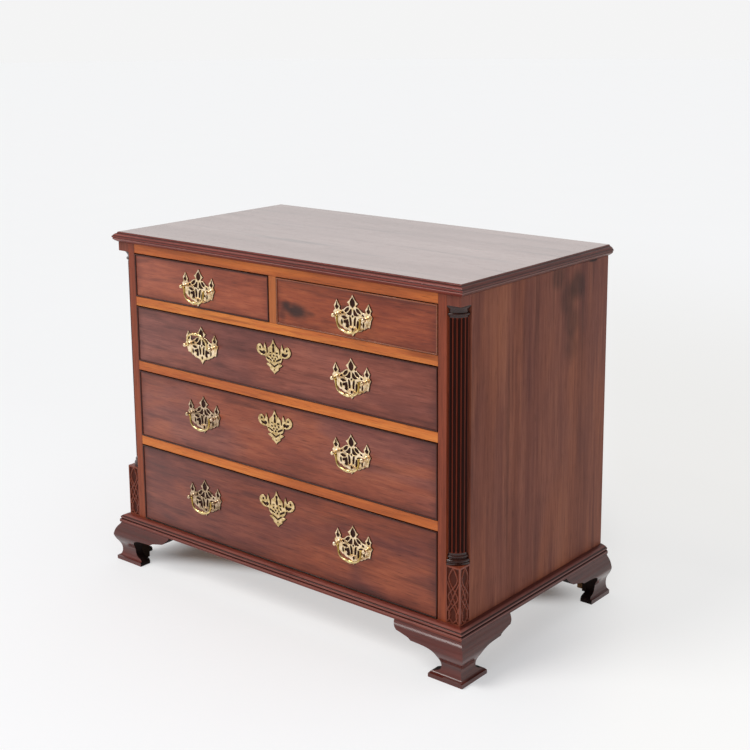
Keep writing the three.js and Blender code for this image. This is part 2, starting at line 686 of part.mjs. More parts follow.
function drawer(name, row, opening, handles) {
  const group = new THREE.Group();
  const x = [opening[0] + gapBeside, opening[1] - gapBeside];
  const z = [row.bottom + gapBelow, row.top - gapAbove];
  const boxZ = [row.bottom + runningGap, z[1] - drawerSideDrop];
  let front = drawerFront(x, z);
  if (row.escutcheonDrop) {
    const parts = lockParts(row);
    front = front.subtract(parts.pocket).subtract(parts.keySlot);
    add(group, `${name}_lock`, parts.lock, 'brass');
    add(group, `${name}_lock_bolt`, parts.bolt, 'brass');
    const plate = piercedPlate(escutcheonOutlineShares, escutcheonPiercingShares, escutcheonHalfWidth,
      escutcheonHeight);
    const place = [0, plateBack, row.top - row.escutcheonDrop];
    const mesh = add(group, `${name}_escutcheon`, surface(plate), 'brass', place);
    mesh.rotation.y = -THREE.MathUtils.degToRad(row.escutcheonTurn);
  }
  add(group, `${name}_front`, surface(front), 'drawerFront');
  add(group, `${name}_box`, drawerBox(x, boxZ), 'inside');
  for (const { suffix, at, raised } of handles) {
    const [right, down] = handleShifts[name + suffix];
    handle(group, `${name}${suffix}`, at + right, row.top - row.handleDrop - down, raised);
  }
  chest.add(group);
}

function drawers() {
  const inner = dividerWidth / 2;
  drawer('drawer_1_left', rows[0], [-openingEdge, -inner], [{ suffix: '', at: -handleOffset }]);
  drawer('drawer_1_right', rows[0], [inner, openingEdge], [{ suffix: '', at: handleOffset }]);
  for (let i = 1; i < rows.length; i += 1) {
    drawer(`drawer_${i + 1}`, rows[i], [-openingEdge, openingEdge], [
      { suffix: '_left', at: -handleOffset, raised: i === 1 },
      { suffix: '_right', at: handleOffset },
    ]);
  }
}

add(chest, 'top_board', topBoard(), 'top');
baseMoulding();
feet();
corners();
carcass();
rails();
drawers();

// The origin goes under the middle of the whole chest, so the front moves back by half the depth
chest.position.y = (footBulge - caseDepth - topBackOverhang) / 2;

export default chest;
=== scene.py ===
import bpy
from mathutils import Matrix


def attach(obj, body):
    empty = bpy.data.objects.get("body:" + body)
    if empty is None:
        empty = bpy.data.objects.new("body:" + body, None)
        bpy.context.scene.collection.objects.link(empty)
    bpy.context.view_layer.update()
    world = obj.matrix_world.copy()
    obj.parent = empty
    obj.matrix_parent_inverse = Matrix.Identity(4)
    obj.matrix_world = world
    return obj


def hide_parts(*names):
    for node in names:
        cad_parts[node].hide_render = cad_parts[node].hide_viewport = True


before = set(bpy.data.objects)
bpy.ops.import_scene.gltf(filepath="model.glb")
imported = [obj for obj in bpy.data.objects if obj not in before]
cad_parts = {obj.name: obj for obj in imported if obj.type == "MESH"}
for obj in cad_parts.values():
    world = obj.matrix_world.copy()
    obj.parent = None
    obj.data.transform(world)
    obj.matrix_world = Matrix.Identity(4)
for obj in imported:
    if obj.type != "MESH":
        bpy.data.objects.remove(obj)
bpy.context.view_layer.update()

import math

import bmesh
import bpy
from mathutils import Matrix, Vector

# A flat-fronted mahogany chest: two short drawers over three long ones, a moulded top, fluted quarter columns and
# ogee bracket feet. Lengths are millimetres in the part's own frame: the case front is y = 0, the back is y = 548
# and the floor is z = 0. They turn into metres of the row's frame when a piece is finished.
MM = 0.001
FRONT_Y = -260.25

# Case
HALF_WIDTH = 500.0
CASE_DEPTH = 548.0
CASE_TOP = 791.0
BASE_LINE = 116.0
FOOT_HEIGHT = 95.0
SEAM = 0.3
SIDE_THICKNESS = 18.0
BACK_THICKNESS = 12.0
CORNER_RECESS = 34.5
STILE_FACE = 465.5
OPENING_EDGE = 445.0
POST_DEPTH = 50.0
TOP_RAIL_FOOT = 770.0
PLINTH_TOP = 239.6
INNER_SIDE = HALF_WIDTH - SIDE_THICKNESS
BACK_FACE = CASE_DEPTH - BACK_THICKNESS
SIDES = ((-1, "left"), (1, "right"))

# Drawers: name, opening across and up, handles (place across, drop from the opening's top, lean in
# degrees), and the escutcheon's drop and lean
DIVIDER_EDGE = 10.5
DRAWERS = [
    dict(name="drawer_1_left", x=(-OPENING_EDGE, -DIVIDER_EDGE), z=(666.5, 770.0),
         handles=[("", -230.3, 57.4, -3.4)]),
    dict(name="drawer_1_right", x=(DIVIDER_EDGE, OPENING_EDGE), z=(666.5, 770.0),
         handles=[("", 227.0, 56.0, 0.4)]),
    dict(name="drawer_2", x=(-OPENING_EDGE, OPENING_EDGE), z=(510.7, 645.2),
         handles=[("_left", -224.7, 64.3, 1.3), ("_right", 221.8, 64.7, 1.4)], key=52.2, turn=2.2),
    dict(name="drawer_3", x=(-OPENING_EDGE, OPENING_EDGE), z=(326.2, 489.4),
         handles=[("_left", -225.0, 71.9, 1.0), ("_right", 219.5, 72.2, 0.8)], key=54.9, turn=3.4),
    dict(name="drawer_4", x=(-OPENING_EDGE, OPENING_EDGE), z=(116.0, 304.9),
         handles=[("_left", -229.0, 87.9, 2.0), ("_right", 222.0, 87.7, 1.6)], key=58.9, turn=2.6),
]
RAISED_BAIL = "drawer_2_left"
RAISED_ANGLE = 172.0
FRONT_THICKNESS = 20.0
FACE = 0.8
BEAD_WIDTH = 3.0
BEAD_STAND = 2.4
GAP_ABOVE, GAP_BESIDE, GAP_BELOW, RUNNING_GAP = 2.0, 1.5, 0.8, 0.5
DRAWER_END = BACK_FACE - 15.0
DRAWER_SIDE = 10.0
SIDE_DROP = 8.0
BOTTOM_LIFT, BOTTOM_THICKNESS = 8.0, 6.0
LAP = 7.4
POCKET_HALF, POCKET_DEPTH = 31.3, 46.3  # the lock's
KEYHOLE_RISE, KEYHOLE_HALF_WIDTH, KEYHOLE_HALF_HEIGHT = 20.0, 2.5, 8.0
BOARD_SHRINKAGE = 0.5  # the open joint between two boards

# Brasses
PLATE_BACK = FACE - SEAM
PLATE_THICKNESS = 1.6
POST_SPACING = 81.0
PIVOT_STAND = 13.0
PIVOT_Y = PLATE_BACK - PLATE_THICKNESS - PIVOT_STAND
BALL_RADIUS = 5.0
DULL_PLATES = ("drawer_3_left", "drawer_4_left")
GUARD_X = 1.0
LOW_GUARD = (1.04, 1.0, 1.07)
SHADOW_SHEET_THICKNESS, SHADOW_SHEET_SPREAD, SHADOW_SHEET_SHIFT = 0.2, 0.6, (1.1, -0.13, -0.5)  # a dark sheet under and around each plate, shifted right and down: painted shadow of the plate


# ---- lines and sections

def spline(points, steps=6, corners=()):
    """A smooth line through the points, with its bend kept at the numbered corners."""
    cuts = sorted({0, len(points) - 1, *corners})
    line = []
    for first, last in zip(cuts, cuts[1:]):
        run = points[first:last + 1]
        if len(run) == 2:
            line += [tuple(run[0])]
            continue
        padded = [run[0], *run, run[-1]]
        for i in range(1, len(padded) - 2):
            p0, p1, p2, p3 = (Vector(padded[i + k]) for k in (-1, 0, 1, 2))
            for s in range(steps):
                t = s / steps
                line.append(tuple(0.5 * (2 * p1 + (p2 - p0) * t + (2 * p0 - 5 * p1 + 4 * p2 - p3) * t ** 2
                                         + (3 * p1 - p0 - 3 * p2 + p3) * t ** 3)))
    return line + [tuple(points[-1])]


def section(across, up, points, corners):
    """A smooth line through points given in shares of its size."""
    return spline([(a * across, u * up) for a, u in points], 4, corners)


def level_value(line, height):
    """The first number of a line of (value, height) pairs at one height; heights fall along it."""
    for (a, za), (b, zb) in zip(line, line[1:]):
        if za >= height >= zb:
            return a if za == zb else a + (b - a) * (za - height) / (za - zb)
    return line[-1][0] if height < line[-1][1] else line[0][0]


def both_halves(half):
    """A closed ring from its right half, whose ends lie on the middle line."""
    return half + [(-x, y) for x, y in reversed(half) if x > 1e-6]


def signed_area(ring):
    """Positive where a closed ring runs anticlockwise."""
    return sum(ax * by - bx * ay for (ax, ay), (bx, by) in zip(ring, ring[1:] + ring[:1])) / 2


def rectangle(x, y):
    return [(x[0], y[0]), (x[1], y[0]), (x[1], y[1]), (x[0], y[1])]


def circle(steps):
    """The cosine and sine of each of a circle's steps."""
    return [(math.cos(a), math.sin(a)) for a in (2 * math.pi * i / steps for i in range(steps))]


def linked(name, data):
    obj = bpy.data.objects.new(name, data)
    bpy.context.scene.collection.objects.link(obj)
    return obj


def at(*place):
    return Matrix.Translation(place)


def turn(degrees, axis):
    return Matrix.Rotation(math.radians(degrees), 4, axis)


UPRIGHT = turn(90, "X")  # from lying in x, y to standing in x, z


# ---- meshes

class Form:
    """A mesh under construction, in millimetres."""

    def __init__(self):
        self.bm = bmesh.new()

    def loft(self, rings, ends=True):
        """Joins rings of as many points each, or of a single point, which makes a tip."""
        rows = [[self.bm.verts.new(p) for p in ring] for ring in rings]
        count = max(map(len, rows))
        for a, b in zip(rows, rows[1:]):
            for i in range(count):
                j = (i + 1) % count
                corners = [a[i % len(a)], a[j % len(a)], b[j % len(b)], b[i % len(b)]]
                self.bm.faces.new([c for k, c in enumerate(corners) if c not in corners[:k]])
        if ends:
            self.bm.faces.new(rows[0])
            self.bm.faces.new(rows[-1])
        return self

    def box(self, x, y, z):
        return self.prism(rectangle(x, y), "z", z)

    def prism(self, outline, axis, span):
        """Extrudes an outline drawn in (y, z), (x, z) or (x, y) along x, y or z."""
        put = {"x": lambda a, b, d: (d, a, b), "y": lambda a, b, d: (a, d, b), "z": lambda a, b, d: (a, b, d)}
        return self.loft([[put[axis](a, b, d) for a, b in outline] for d in span])

    def turned(self, profile, matrix, steps):
        """A lathe form round local z; the profile gives (radius, z) pairs and starts and ends on the axis."""
        return self.loft([[matrix @ Vector((radius * c, radius * s, height))
                           for c, s in (circle(steps) if radius else [(0, 0)])] for radius, height in profile], False)

    def tube(self, path, radii, sides):
        """A round rod along a path in the x, z plane, closed at both ends."""
        rows = []
        for before, point, after, radius in zip(path[:1] + path, path, path[1:] + path[-1:], radii):
            ahead = Vector(after) - Vector(before)
            across = Vector((ahead.z, 0, -ahead.x)).normalized()
            rows.append([Vector(point) + radius * (across * c + Vector((0, 1, 0)) * s) for c, s in circle(sides)])
        return self.loft(rows)

    def place(self, matrix):
        bmesh.ops.transform(self.bm, matrix=matrix, verts=self.bm.verts)
        return self

    def add(self, mesh, matrix=Matrix.Identity(4)):
        copy = mesh.copy()
        copy.transform(matrix)
        self.bm.from_mesh(copy)
        bpy.data.meshes.remove(copy)
        return self

    def mirrored(self, side):
        return self.place(Matrix.Diagonal((side, 1, 1, 1)))

    def mesh(self, name):
        bmesh.ops.recalc_face_normals(self.bm, faces=self.bm.faces)
        made = bpy.data.meshes.new(name)
        self.bm.to_mesh(made)
        self.bm.free()
        return made

    def piece(self, name, body, materials, slot, replaces=(), bevel=0.0, smooth=None, paint=None):
        """Makes the object: its body, materials and the nodes it replaces, the width of its eased edges, the
        angle under which its faces join smoothly, and the number of the material at each face's middle. Its slot is
        not used."""
        mesh = self.mesh(name)
        mesh.transform(Matrix.Scale(MM, 4) @ at(0, FRONT_Y, 0))
        obj = linked(name, mesh)
        for material in materials if isinstance(materials, list) else [materials]:
            mesh.materials.append(material)
        if paint:
            for face in mesh.polygons:
                face.material_index = paint(face.center / MM - Vector((0, FRONT_Y, 0)))
        if smooth:
            mesh.shade_smooth()
            mesh.set_sharp_from_angle(angle=math.radians(smooth))
        if bevel:
            soften(obj, bevel)
        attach(obj, body)
        if replaces:
            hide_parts(*replaces)


def soften(obj, width):
    """Takes the sharpness off the edges of a board."""
    modifier = obj.modifiers.new("edges", "BEVEL")
    modifier.width = width * MM
    modifier.segments = 2
    modifier.limit_method = "ANGLE"
    modifier.angle_limit = math.radians(50)


def pierced(name, rings, thickness, edge, steps=2, spread=0.0):
    """A flat plate in x, y with rounded edges; the first ring is its outline and the rest are holes."""
    curve = bpy.data.curves.new(name, "CURVE")
    curve.dimensions = "2D"
    curve.fill_mode = "BOTH"
    curve.extrude = thickness / 2 - edge
    curve.bevel_depth = edge
    curve.bevel_resolution = steps
    curve.offset = spread - edge
    for i, ring in enumerate(rings):
        if (signed_area(ring) > 0) == (i > 0):
            ring = ring[::-1]
        line = curve.splines.new("POLY")
        line.points.add(len(ring) - 1)
        for point, (x, y) in zip(line.points, ring):
            point.co = (x, y, 0, 1)
        line.use_cyclic_u = True
    obj = linked(name, curve)
    evaluated = obj.evaluated_get(bpy.context.evaluated_depsgraph_get())
    mesh = bpy.data.meshes.new_from_object(evaluated)
    bpy.data.objects.remove(obj)
    bpy.data.curves.remove(curve)
    return mesh


# ---- materials

def rgb(code):
    """A linear colour from its sRGB hex code."""
    values = [int(code[i:i + 2], 16) / 255 for i in (0, 2, 4)]
    return tuple(v / 12.92 if v <= 0.04045 else ((v + 0.055) / 1.055) ** 2.4 for v in values) + (1.0,)


class Value:
    """An output of a node; arithmetic on it adds maths nodes."""

    def __init__(self, graph, socket):
        self.graph, self.socket = graph, socket

    def __add__(self, other):
        return self.graph.maths("ADD", self, other)

    def __sub__(self, other):
        return self.graph.maths("SUBTRACT", self, other)

    def __rsub__(self, other):
        return self.graph.maths("SUBTRACT", other, self)

    def __mul__(self, other):
        return self.graph.maths("MULTIPLY", self, other)

    def __abs__(self):
        return self.graph.maths("ABSOLUTE", self)


class Node:
    """A node of a graph, which gives its outputs by name or number."""

    def __init__(self, graph, made):
        self.graph, self.made = graph, made

    def __getitem__(self, output):
        return Value(self.graph, self.made.outputs[output])


class Graph:
    """A short way to write the node tree of a material or a world."""

    def __init__(self, owner):
        owner.use_nodes = True
        self.owner, self.tree = owner, owner.node_tree
        self.shader = Node(self, self.tree.nodes.get("Principled BSDF"))

    def put(self, socket, value):
        """Links an output to a socket, or sets the socket to a number, a vector, a colour or a colour's code."""
        if isinstance(value, Value):
            self.tree.links.new(value.socket, socket)
        else:
            socket.default_value = rgb(value) if isinstance(value, str) else value

    def node(self, kind, inputs=None, **settings):
        made = self.tree.nodes.new("ShaderNode" + kind)
        for key, value in settings.items():
            setattr(made, key, value)
        for key, value in (inputs or {}).items():
            self.put(made.inputs[key], value)
        return Node(self, made)

    def surface(self, inputs):
        for key, value in inputs.items():
            self.put(self.shader.made.inputs[key], value)
        return self.owner

    def maths(self, operation, a, b=0.0):
        return self.node("Math", {0: a, 1: b}, operation=operation)[0]

    def vector(self, operation, a, b=(0, 0, 0)):
        return self.node("VectorMath", {0: a, 1: b}, operation=operation)

    def mix(self, blend, factor, a, b):
        return self.node("Mix", {"Factor": factor, "A": a, "B": b}, data_type="RGBA", blend_type=blend)["Result"]

    def noise(self, vector, scale, detail=3.0, rough=0.55, distortion=0.0):
        return self.node("TexNoise", {"Vector": vector, "Scale": scale, "Detail": detail, "Roughness": rough,
                                      "Distortion": distortion})["Fac"]

    def ramp(self, factor, stops):
        node, stops = self.node("ValToRGB", {"Fac": factor}), list(stops)
        elements = node.made.color_ramp.elements
        while len(elements) < len(stops):
            elements.new(0.5)
        for element, (position, colour) in zip(elements, stops):
            element.position, element.color = position, (*colour[:3], 1.0)
        return node["Color"]

    def band(self, factor, low, high):
        """0 below low, 1 above high, smooth between."""
        return self.node("MapRange", {"Value": factor, "From Min": low, "From Max": high},
                         interpolation_type="SMOOTHSTEP")["Result"]

    def blob(self, here, middle, size, wobble, edge=0.5, ragged=1.6):
        """1 near a place of the row's frame, falling to 0 at an uneven edge; sizes are half-axes in metres."""
        offset = self.vector("SUBTRACT", here, middle)[0]
        length = self.vector("LENGTH", self.vector("MULTIPLY", offset, tuple(1 / s for s in size))[0])["Value"]
        return 1.0 - self.band(length + (wobble - 0.5) * ragged, edge, 1.0)


def wood(name, grain, colours, seed, roughness=0.3, specular=0.5, *, warm=None, warmth=0.6, streaks=0.35, cloud=0.3,
         pores=0.5, coat=0.0, coat_roughness=0.15, stains=(), fine=1.0, border=None, veins=0.35, patch_size=6.0,
         contrast=0.14, pale_ramp=None, shade_and_highlight_lines=(), reach=0.045):
    """Polished or plain timber with its grain along one axis, in a dark, a middle and a light colour: bands, fine
    lines, pores, veins and warmer patches. A border is darkened by old polish, a face pales from one place along an
    axis to another (on the drawer fronts this is painted sheen), and stains, and painted shade and painted
    highlights in level lines, with some wear, lie on top."""
    g = Graph(bpy.data.materials.new(name))
    here = g.node("TexCoord")["Object"]
    place = g.node("SeparateXYZ", {0: here})
    along = tuple(reach if axis == grain else 1 for axis in "xyz")
    shift = tuple(seed * part for part in (1.37, 2.11, 0.73))
    stretched, soft, tight = (
        g.node("Mapping", {"Vector": here, "Location": shift, "Scale": scale})[0] for scale in (
            along, tuple(math.sqrt(a) for a in along), tuple(a if a == 1 else 0.03 for a in along)))
    warp = g.node("TexNoise", {"Vector": stretched, "Scale": 5.0, "Detail": 2.0})["Color"]
    warped = g.vector("ADD", g.vector("MULTIPLY", warp, (0.03, 0.03, 0.03))[0], stretched)[0]
    bands = g.noise(warped, 14.0, 4.0, 0.6)
    lines = g.noise(warped, 120.0 * fine, 6.0, 0.7)
    clouds = g.noise(soft, 9.0, 4.0, 0.6)
    wobble = g.noise(soft, 30.0, 4.0, 0.65)
    vein = g.band(g.noise(warped, 46.0, 2.0, 0.5), 0.6, 0.7)
    pore = g.band(g.noise(tight, 850.0, 1.0, 0.5), 0.6, 0.72)
    tone = bands * (1.0 - streaks - cloud) + (lines * streaks + clouds * cloud)
    stops = (0.5 - contrast, 0.5, 0.5 + contrast)
    colour = g.ramp(tone, zip(stops, map(rgb, colours.split())))
    if warm:
        patch = g.band(g.noise(soft, patch_size, 3.0, 0.55, 0.6), 0.42, 0.62)
        colour = g.mix("MIX", patch * warmth, colour, g.ramp(tone, zip(stops, map(rgb, warm.split()))))
    colour = g.mix("MULTIPLY", vein * veins, colour, "8a6a62")
    colour = g.mix("MULTIPLY", pore * pores, colour, "6a5048")
    # a paler screen over part of a face; on the drawer fronts this is painted sheen
    if pale_ramp:
        axis, start, end, strength = pale_ramp
        colour = g.mix("SCREEN", g.band(place[axis], start, end) * strength, colour, "5a4440")
    if border:
        edge = g.maths("MINIMUM", *((high - low) / 2 * MM - abs(place[axis] - (low + high) / 2 * MM)
                                    for axis, (low, high) in zip("XZ", border)))
        near = 1.0 - g.band(edge + (wobble - 0.5) * 0.05, 0.0, 0.03)
        colour = g.mix("MULTIPLY", near * 0.5, colour, "a0807c")
    for middle, size, shade, strength, *edge in stains:
        colour = g.mix("MULTIPLY", g.blob(here, middle, size, wobble, *edge) * strength, colour, shade)
    # painted shade and painted highlights along level lines
    for height, half, shade, strength, broken in shade_and_highlight_lines:
        near = 1.0 - g.band(abs(place["Z"] - height * MM), half * MM * 0.35, half * MM)
        near = near * g.band(g.noise(soft, 60.0, 4.0, 0.7), broken - 0.3, broken)
        colour = g.mix("MIX", near * strength, colour, shade)
    bump = g.node("Bump", {"Strength": 0.25, "Distance": 0.00012, "Height": lines * 0.5 - pore})
    return g.surface({"Base Color": colour, "Roughness": clouds * 0.16 + (roughness - 0.08) + pore * 0.1,
                      "Specular IOR Level": specular, "Coat Weight": coat, "Coat Roughness": coat_roughness,
                      "Normal": bump["Normal"]})


def metal(name, colour, shade, tarnish, roughness, tint="6b5a2e", relief=0.2, *, lit_below_shaded_above=False):
    """Lacquered cast brass: slightly uneven colour, polish and surface, browned in patches. On the hanging bails the
    upper part is painted darker and the lowest part paler: painted shade and a painted highlight.
    """
    g = Graph(bpy.data.materials.new(name))
    here = g.node("TexCoord")["Object"]
    patches = g.noise(here, 130.0, 5.0, 0.65)
    fine = g.noise(here, 900.0, 3.0, 0.6)
    cast = g.noise(here, 260.0, 2.0, 0.5)
    base = g.mix("MIX", g.band(patches, 0.38, 0.62), shade, colour)
    base = g.mix("MULTIPLY", g.band(g.noise(here, 60.0, 4.0, 0.6), 0.5, 0.7) * tarnish, base, tint)
    # painted shade on the upper part and a painted highlight on the lowest part
    if lit_below_shaded_above:
        low = g.node("SeparateXYZ", {0: g.node("TexCoord")["Generated"]})["Z"]
        base = g.mix("MULTIPLY", g.band(low, 0.25, 0.5), base, "c8ba8c")
        base = g.mix("SCREEN", 1.0 - g.band(low, 0.12, 0.3), base, "4a4638")
    bump = g.node("Bump", {"Strength": relief, "Distance": 0.0008, "Height": (fine + patches) * 0.3 + cast})
    return g.surface({"Base Color": base, "Metallic": 1.0, "Roughness": patches * 0.2 + (roughness - 0.1),
                      "Normal": bump["Normal"]})


# A stain: its middle and half-axes in metres, shade, strength, and at times where its edge begins and how ragged it is
TOP_STAINS = [((-0.098, -0.099, 0.815), (0.16, 0.012, 0.02), "705a54", 0.5),
              ((0.12, -0.13, 0.815), (0.13, 0.01, 0.02), "705a54", 0.4)]
TOP = wood("top_mahogany", "x", "7c5b51 93736b a68a82", 1.0, 0.12, streaks=0.3, cloud=0.25, coat=0.37,
           coat_roughness=0.08, veins=0.5, stains=TOP_STAINS)
SIDE_STAINS = [
    ((0.5, 0.088, 0.772), (0.044, 0.04, 0.036), "5e5456", 0.5, 0.3, 0.5),
    ((0.5, 0.122, 0.724), (0.034, 0.04, 0.050), "5e5254", 0.5, 0.35, 0.5),
    ((0.5, 0.142, 0.668), (0.020, 0.04, 0.050), "5e4e4c", 0.45, 0.3, 0.5),
    ((0.5, 0.139, 0.612), (0.018, 0.04, 0.050), "64504c", 0.35, 0.2, 0.5),
    ((0.5, 0.162, 0.745), (0.0045, 0.04, 0.045), "3c2a28", 0.6, 0.3, 0.6),
    ((0.5, 0.221, 0.793), (0.012, 0.04, 0.008), "2a1a18", 0.9),
]
SIDE = {
    side: wood(f"side_mahogany_{name}", "z", "5e2c22 784232 8e5540", seed, 0.45, 0.16, warm="743a22 8c4c2e a05e3a",
               warmth=0.5, patch_size=5.0, contrast=0.1, pale_ramp=("Y", 0.05, 0.26, 0.14),
               stains=SIDE_STAINS if side > 0 else ())
    for side, name, seed in ((1, "right", 2.0), (-1, "left", 2.6))
}
STILE = wood("stile_mahogany", "z", "6c301c 883e26 a05034", 3.0, 0.36, 0.25, warm="7a3818 8e4620 a4562a", warmth=0.4)
BLOCK = wood("block_mahogany", "z", "66342a 7c4436 925444", 3.7, 0.4, 0.14)
FRET = wood("fret_mahogany", "z", "642c1c 7e3c28 965038", 3.9, 0.34, 0.3)
# near-black for the fret's sunk ground: painted shade in the recess
FRET_GROUND = wood("fret_ground_mahogany", "z", "34160e 461e14 58281a", 3.3, 0.5, 0.1)
RAIL = wood("rail_mahogany", "x", "964a20 b65e2c cc7836", 4.0, 0.36, 0.26,
            warm="b25a1e cc702e dc863e", warmth=0.8, patch_size=9.0, contrast=0.1, veins=0.5)
DIVIDER = wood("divider_mahogany", "z", "82401e 945028 a86034", 4.6, 0.36, 0.3,
               warm="a2501c b4602a c47236", warmth=0.6)
WARM_FRONT = "843618 9c4a26 b05c34"
FRONT_LOOKS = {  # colours, seed, warmth, and stains of their own
    "drawer_1_left": ("7c3620 9c4c30 b2603e", 5.0, 0.85),
    "drawer_1_right": ("682618 863a20 a04e2c", 5.5, 0.85,
                       ((0.068, -0.260, 0.703), (0.052, 0.02, 0.023), "3a3848", 0.9, 0.3, 0.9),
                       ((0.039, -0.260, 0.711), (0.022, 0.02, 0.017), "464252", 0.85, 0.2, 0.7),
                       ((0.028, -0.260, 0.690), (0.017, 0.02, 0.024), "6a5458", 0.6, 0.15, 0.5),
                       ((0.112, -0.260, 0.701), (0.020, 0.02, 0.009), "5c4c50", 0.55, 0.1, 0.5)),
    "drawer_2": ("5a2a23 743c33 8e5044", 6.2, 0.25),
    "drawer_3": ("5c2a24 783e34 8e5040", 7.1, 0.55),
    "drawer_4": ("4c1f18 662c22 80402f", 8.3, 0.55),
}


def front_wood(d):
    """The wood of a drawer front, with painted shade under its brasses, seen through their holes."""
    colours, seed, warmth, *stains = FRONT_LOOKS[d["name"]]
    border = [(low + GAP_BESIDE, high - GAP_BESIDE) for low, high in (d["x"], d["z"])]
    shade_under_brasses = [(x, drop + 3, (0.047, 0.03, 0.028)) for _, x, drop, _ in d["handles"]]
    if "key" in d:
        shade_under_brasses.append((GUARD_X, d["key"], (0.034, 0.03, 0.022)))
    # painted shade: a dark patch under each plate and escutcheon
    stains += [((x * MM, FRONT_Y * MM, (d["z"][1] - drop) * MM), size, "4a302c", 0.7, 0.6)
               for x, drop, size in shade_under_brasses]
    # the ramp along X is painted sheen: each front paler towards its left end
    return wood(f"front_mahogany_{d['name']}", "x", colours, seed, 0.34, 0.36, warm=WARM_FRONT, warmth=warmth,
                border=border, contrast=0.115, streaks=0.42, cloud=0.36, pale_ramp=("X", -0.05, -0.42, 0.45), reach=0.1,
                stains=stains)


FRONT = {d["name"]: front_wood(d) for d in DRAWERS}
# the line at 117.6 is painted shadow in the gap under the bottom drawer
BEAD = wood("bead_mahogany", "x", "30120c 421a10 56261a", 9.0, 0.34, 0.3, shade_and_highlight_lines=[(117.6, 2.6, "120806", 0.95, 0.2)])
# a paler copy of the bead: painted highlight on the right top drawer's bead
HIGHLIT_BEAD = wood("highlit_bead_mahogany", "x", "6c3824 84482e a05e40", 9.4, 0.26)
COLUMN = wood("column_mahogany", "z", "4e190b 662411 7e351e", 10.0, 0.3, 0.16)
COLUMN_END = wood("column_end_mahogany", "z", "240d08 32140d 462216", 10.8, 0.22, 0.5)
# darker wood for the flutes' hollows: painted shade
FLUTE = wood("flute_mahogany", "z", "200a06 2c0f08 3a170e", 10.4, 0.4, 0.08)
MOULDING = dict(roughness=0.36, specular=0.22, cloud=0.2, coat=0.18, coat_roughness=0.18)
BASE_LINES = [  # height, half width, shade, strength, and how broken it is; dark lines are painted shade in the grooves, light lines painted highlights
    (110.9, 1.2, "241009", 0.9, 0.35), (104.1, 1.2, "2c120b", 0.9, 0.35), (113.2, 1.6, "a0645a", 0.45, 0.5),
    (107.6, 1.1, "b4786a", 0.45, 0.5), (100.8, 1.1, "b4786a", 0.4, 0.5)]
# dark lines: painted shade in the grooves; light lines: painted highlights with some wear
TOP_LINES = [(811.6, 1.3, "2c120c", 0.8, 0.4), (806.0, 1.1, "2c120c", 0.8, 0.35), (800.9, 1.0, "34160f", 0.7, 0.4),
             (809.0, 1.2, "a86a60", 0.4, 0.62), (799.4, 1.0, "c8948a", 0.42, 0.5)]
# the two lighter lines on the side are painted highlights
SIDE_EDGE_LINES = TOP_LINES[:3] + [(799.4, 1.5, "88685e", 0.5, 0.35), (794.6, 1.2, "86625a", 0.55, 0.35)]
BASE_X = wood("base_moulding_mahogany", "x", "4c1a11 64261b 7c3a2a", 11.0, shade_and_highlight_lines=BASE_LINES, **MOULDING)
BASE_Y = wood("base_moulding_mahogany_side", "y", "40160f 52211a 642e24", 11.6, shade_and_highlight_lines=BASE_LINES,
              **MOULDING)
EDGE_X = wood("top_edge_mahogany", "x", "5c241b 782f25 924636", 11.3, shade_and_highlight_lines=TOP_LINES, **MOULDING)
EDGE_Y = wood("top_edge_mahogany_side", "y", "48201a 5e2c24 723a2e", 11.9, shade_and_highlight_lines=SIDE_EDGE_LINES,
              **MOULDING)
FOOT = dict(roughness=0.36, specular=0.1, cloud=0.2, coat=0.8, coat_roughness=0.17)
FOOT_X = wood("foot_mahogany", "x", "42160d 58221a 702f24", 11.1, **FOOT)
FOOT_Y = wood("foot_mahogany_side", "y", "3c140c 4e1e16 642c20", 11.7, **FOOT)
# near black: painted shade on the feet's cut edges and inner faces, partly their darker end grain
CUT_EDGE = wood("cut_edge_mahogany", "z", "120907 1a0d0a 261410", 11.2, 0.6, 0.1)
DARK_INSIDE = wood("shaded_softwood", "z", "1c130c 281b12 34251a", 12.3, 0.7, 0.1, pores=0.2, fine=0.5)
SOFTWOOD_X, SOFTWOOD_Y = (
    wood(f"softwood_{grain}", grain, "86603e a47c54 b8926a", seed, 0.7, 0.2, pores=0.2, fine=0.5)
    for grain, seed in (("x", 12.0), ("y", 12.6)))
BRASS = metal("gilt_brass", "ffe8c8", "dec08c", 0.4, 0.28, "9a7e58", 0.35)
DULL_BRASS = metal("dull_brass", "e0c6aa", "a48c6c", 0.5, 0.36, "8a7a58", 0.35)
# near-black sheet behind each brass: painted shadow of the plate on the drawer front
SHADOW_SHEET_WOOD = wood("old_wax", "x", "24100a 32160e 482418", 13.1, 0.5, 0.14)
GUARD_BRASS = metal("guard_brass", "eed2a2", "bc9e66", 0.5, 0.28, "9a8650", 0.35)
# the hanging bails carry a painted highlight low down and painted shade higher up; the raised bail's brass has neither
BAIL_BRASS = metal("bail_brass", "f2dca6", "d2b474", 0.35, 0.26, "9a8650", 0.12, lit_below_shaded_above=True)
RAISED_BRASS = metal("raised_bail_brass", "f2dca6", "d2b474", 0.35, 0.26, "9a8650", 0.12)
LOCK_BRASS = metal("lock_brass", "a88f5c", "86703f", 0.7, 0.42)
IRON = metal("nail_iron", "55504a", "3c3631", 0.8, 0.55, "5a3a26")


# ---- top board and mouldings

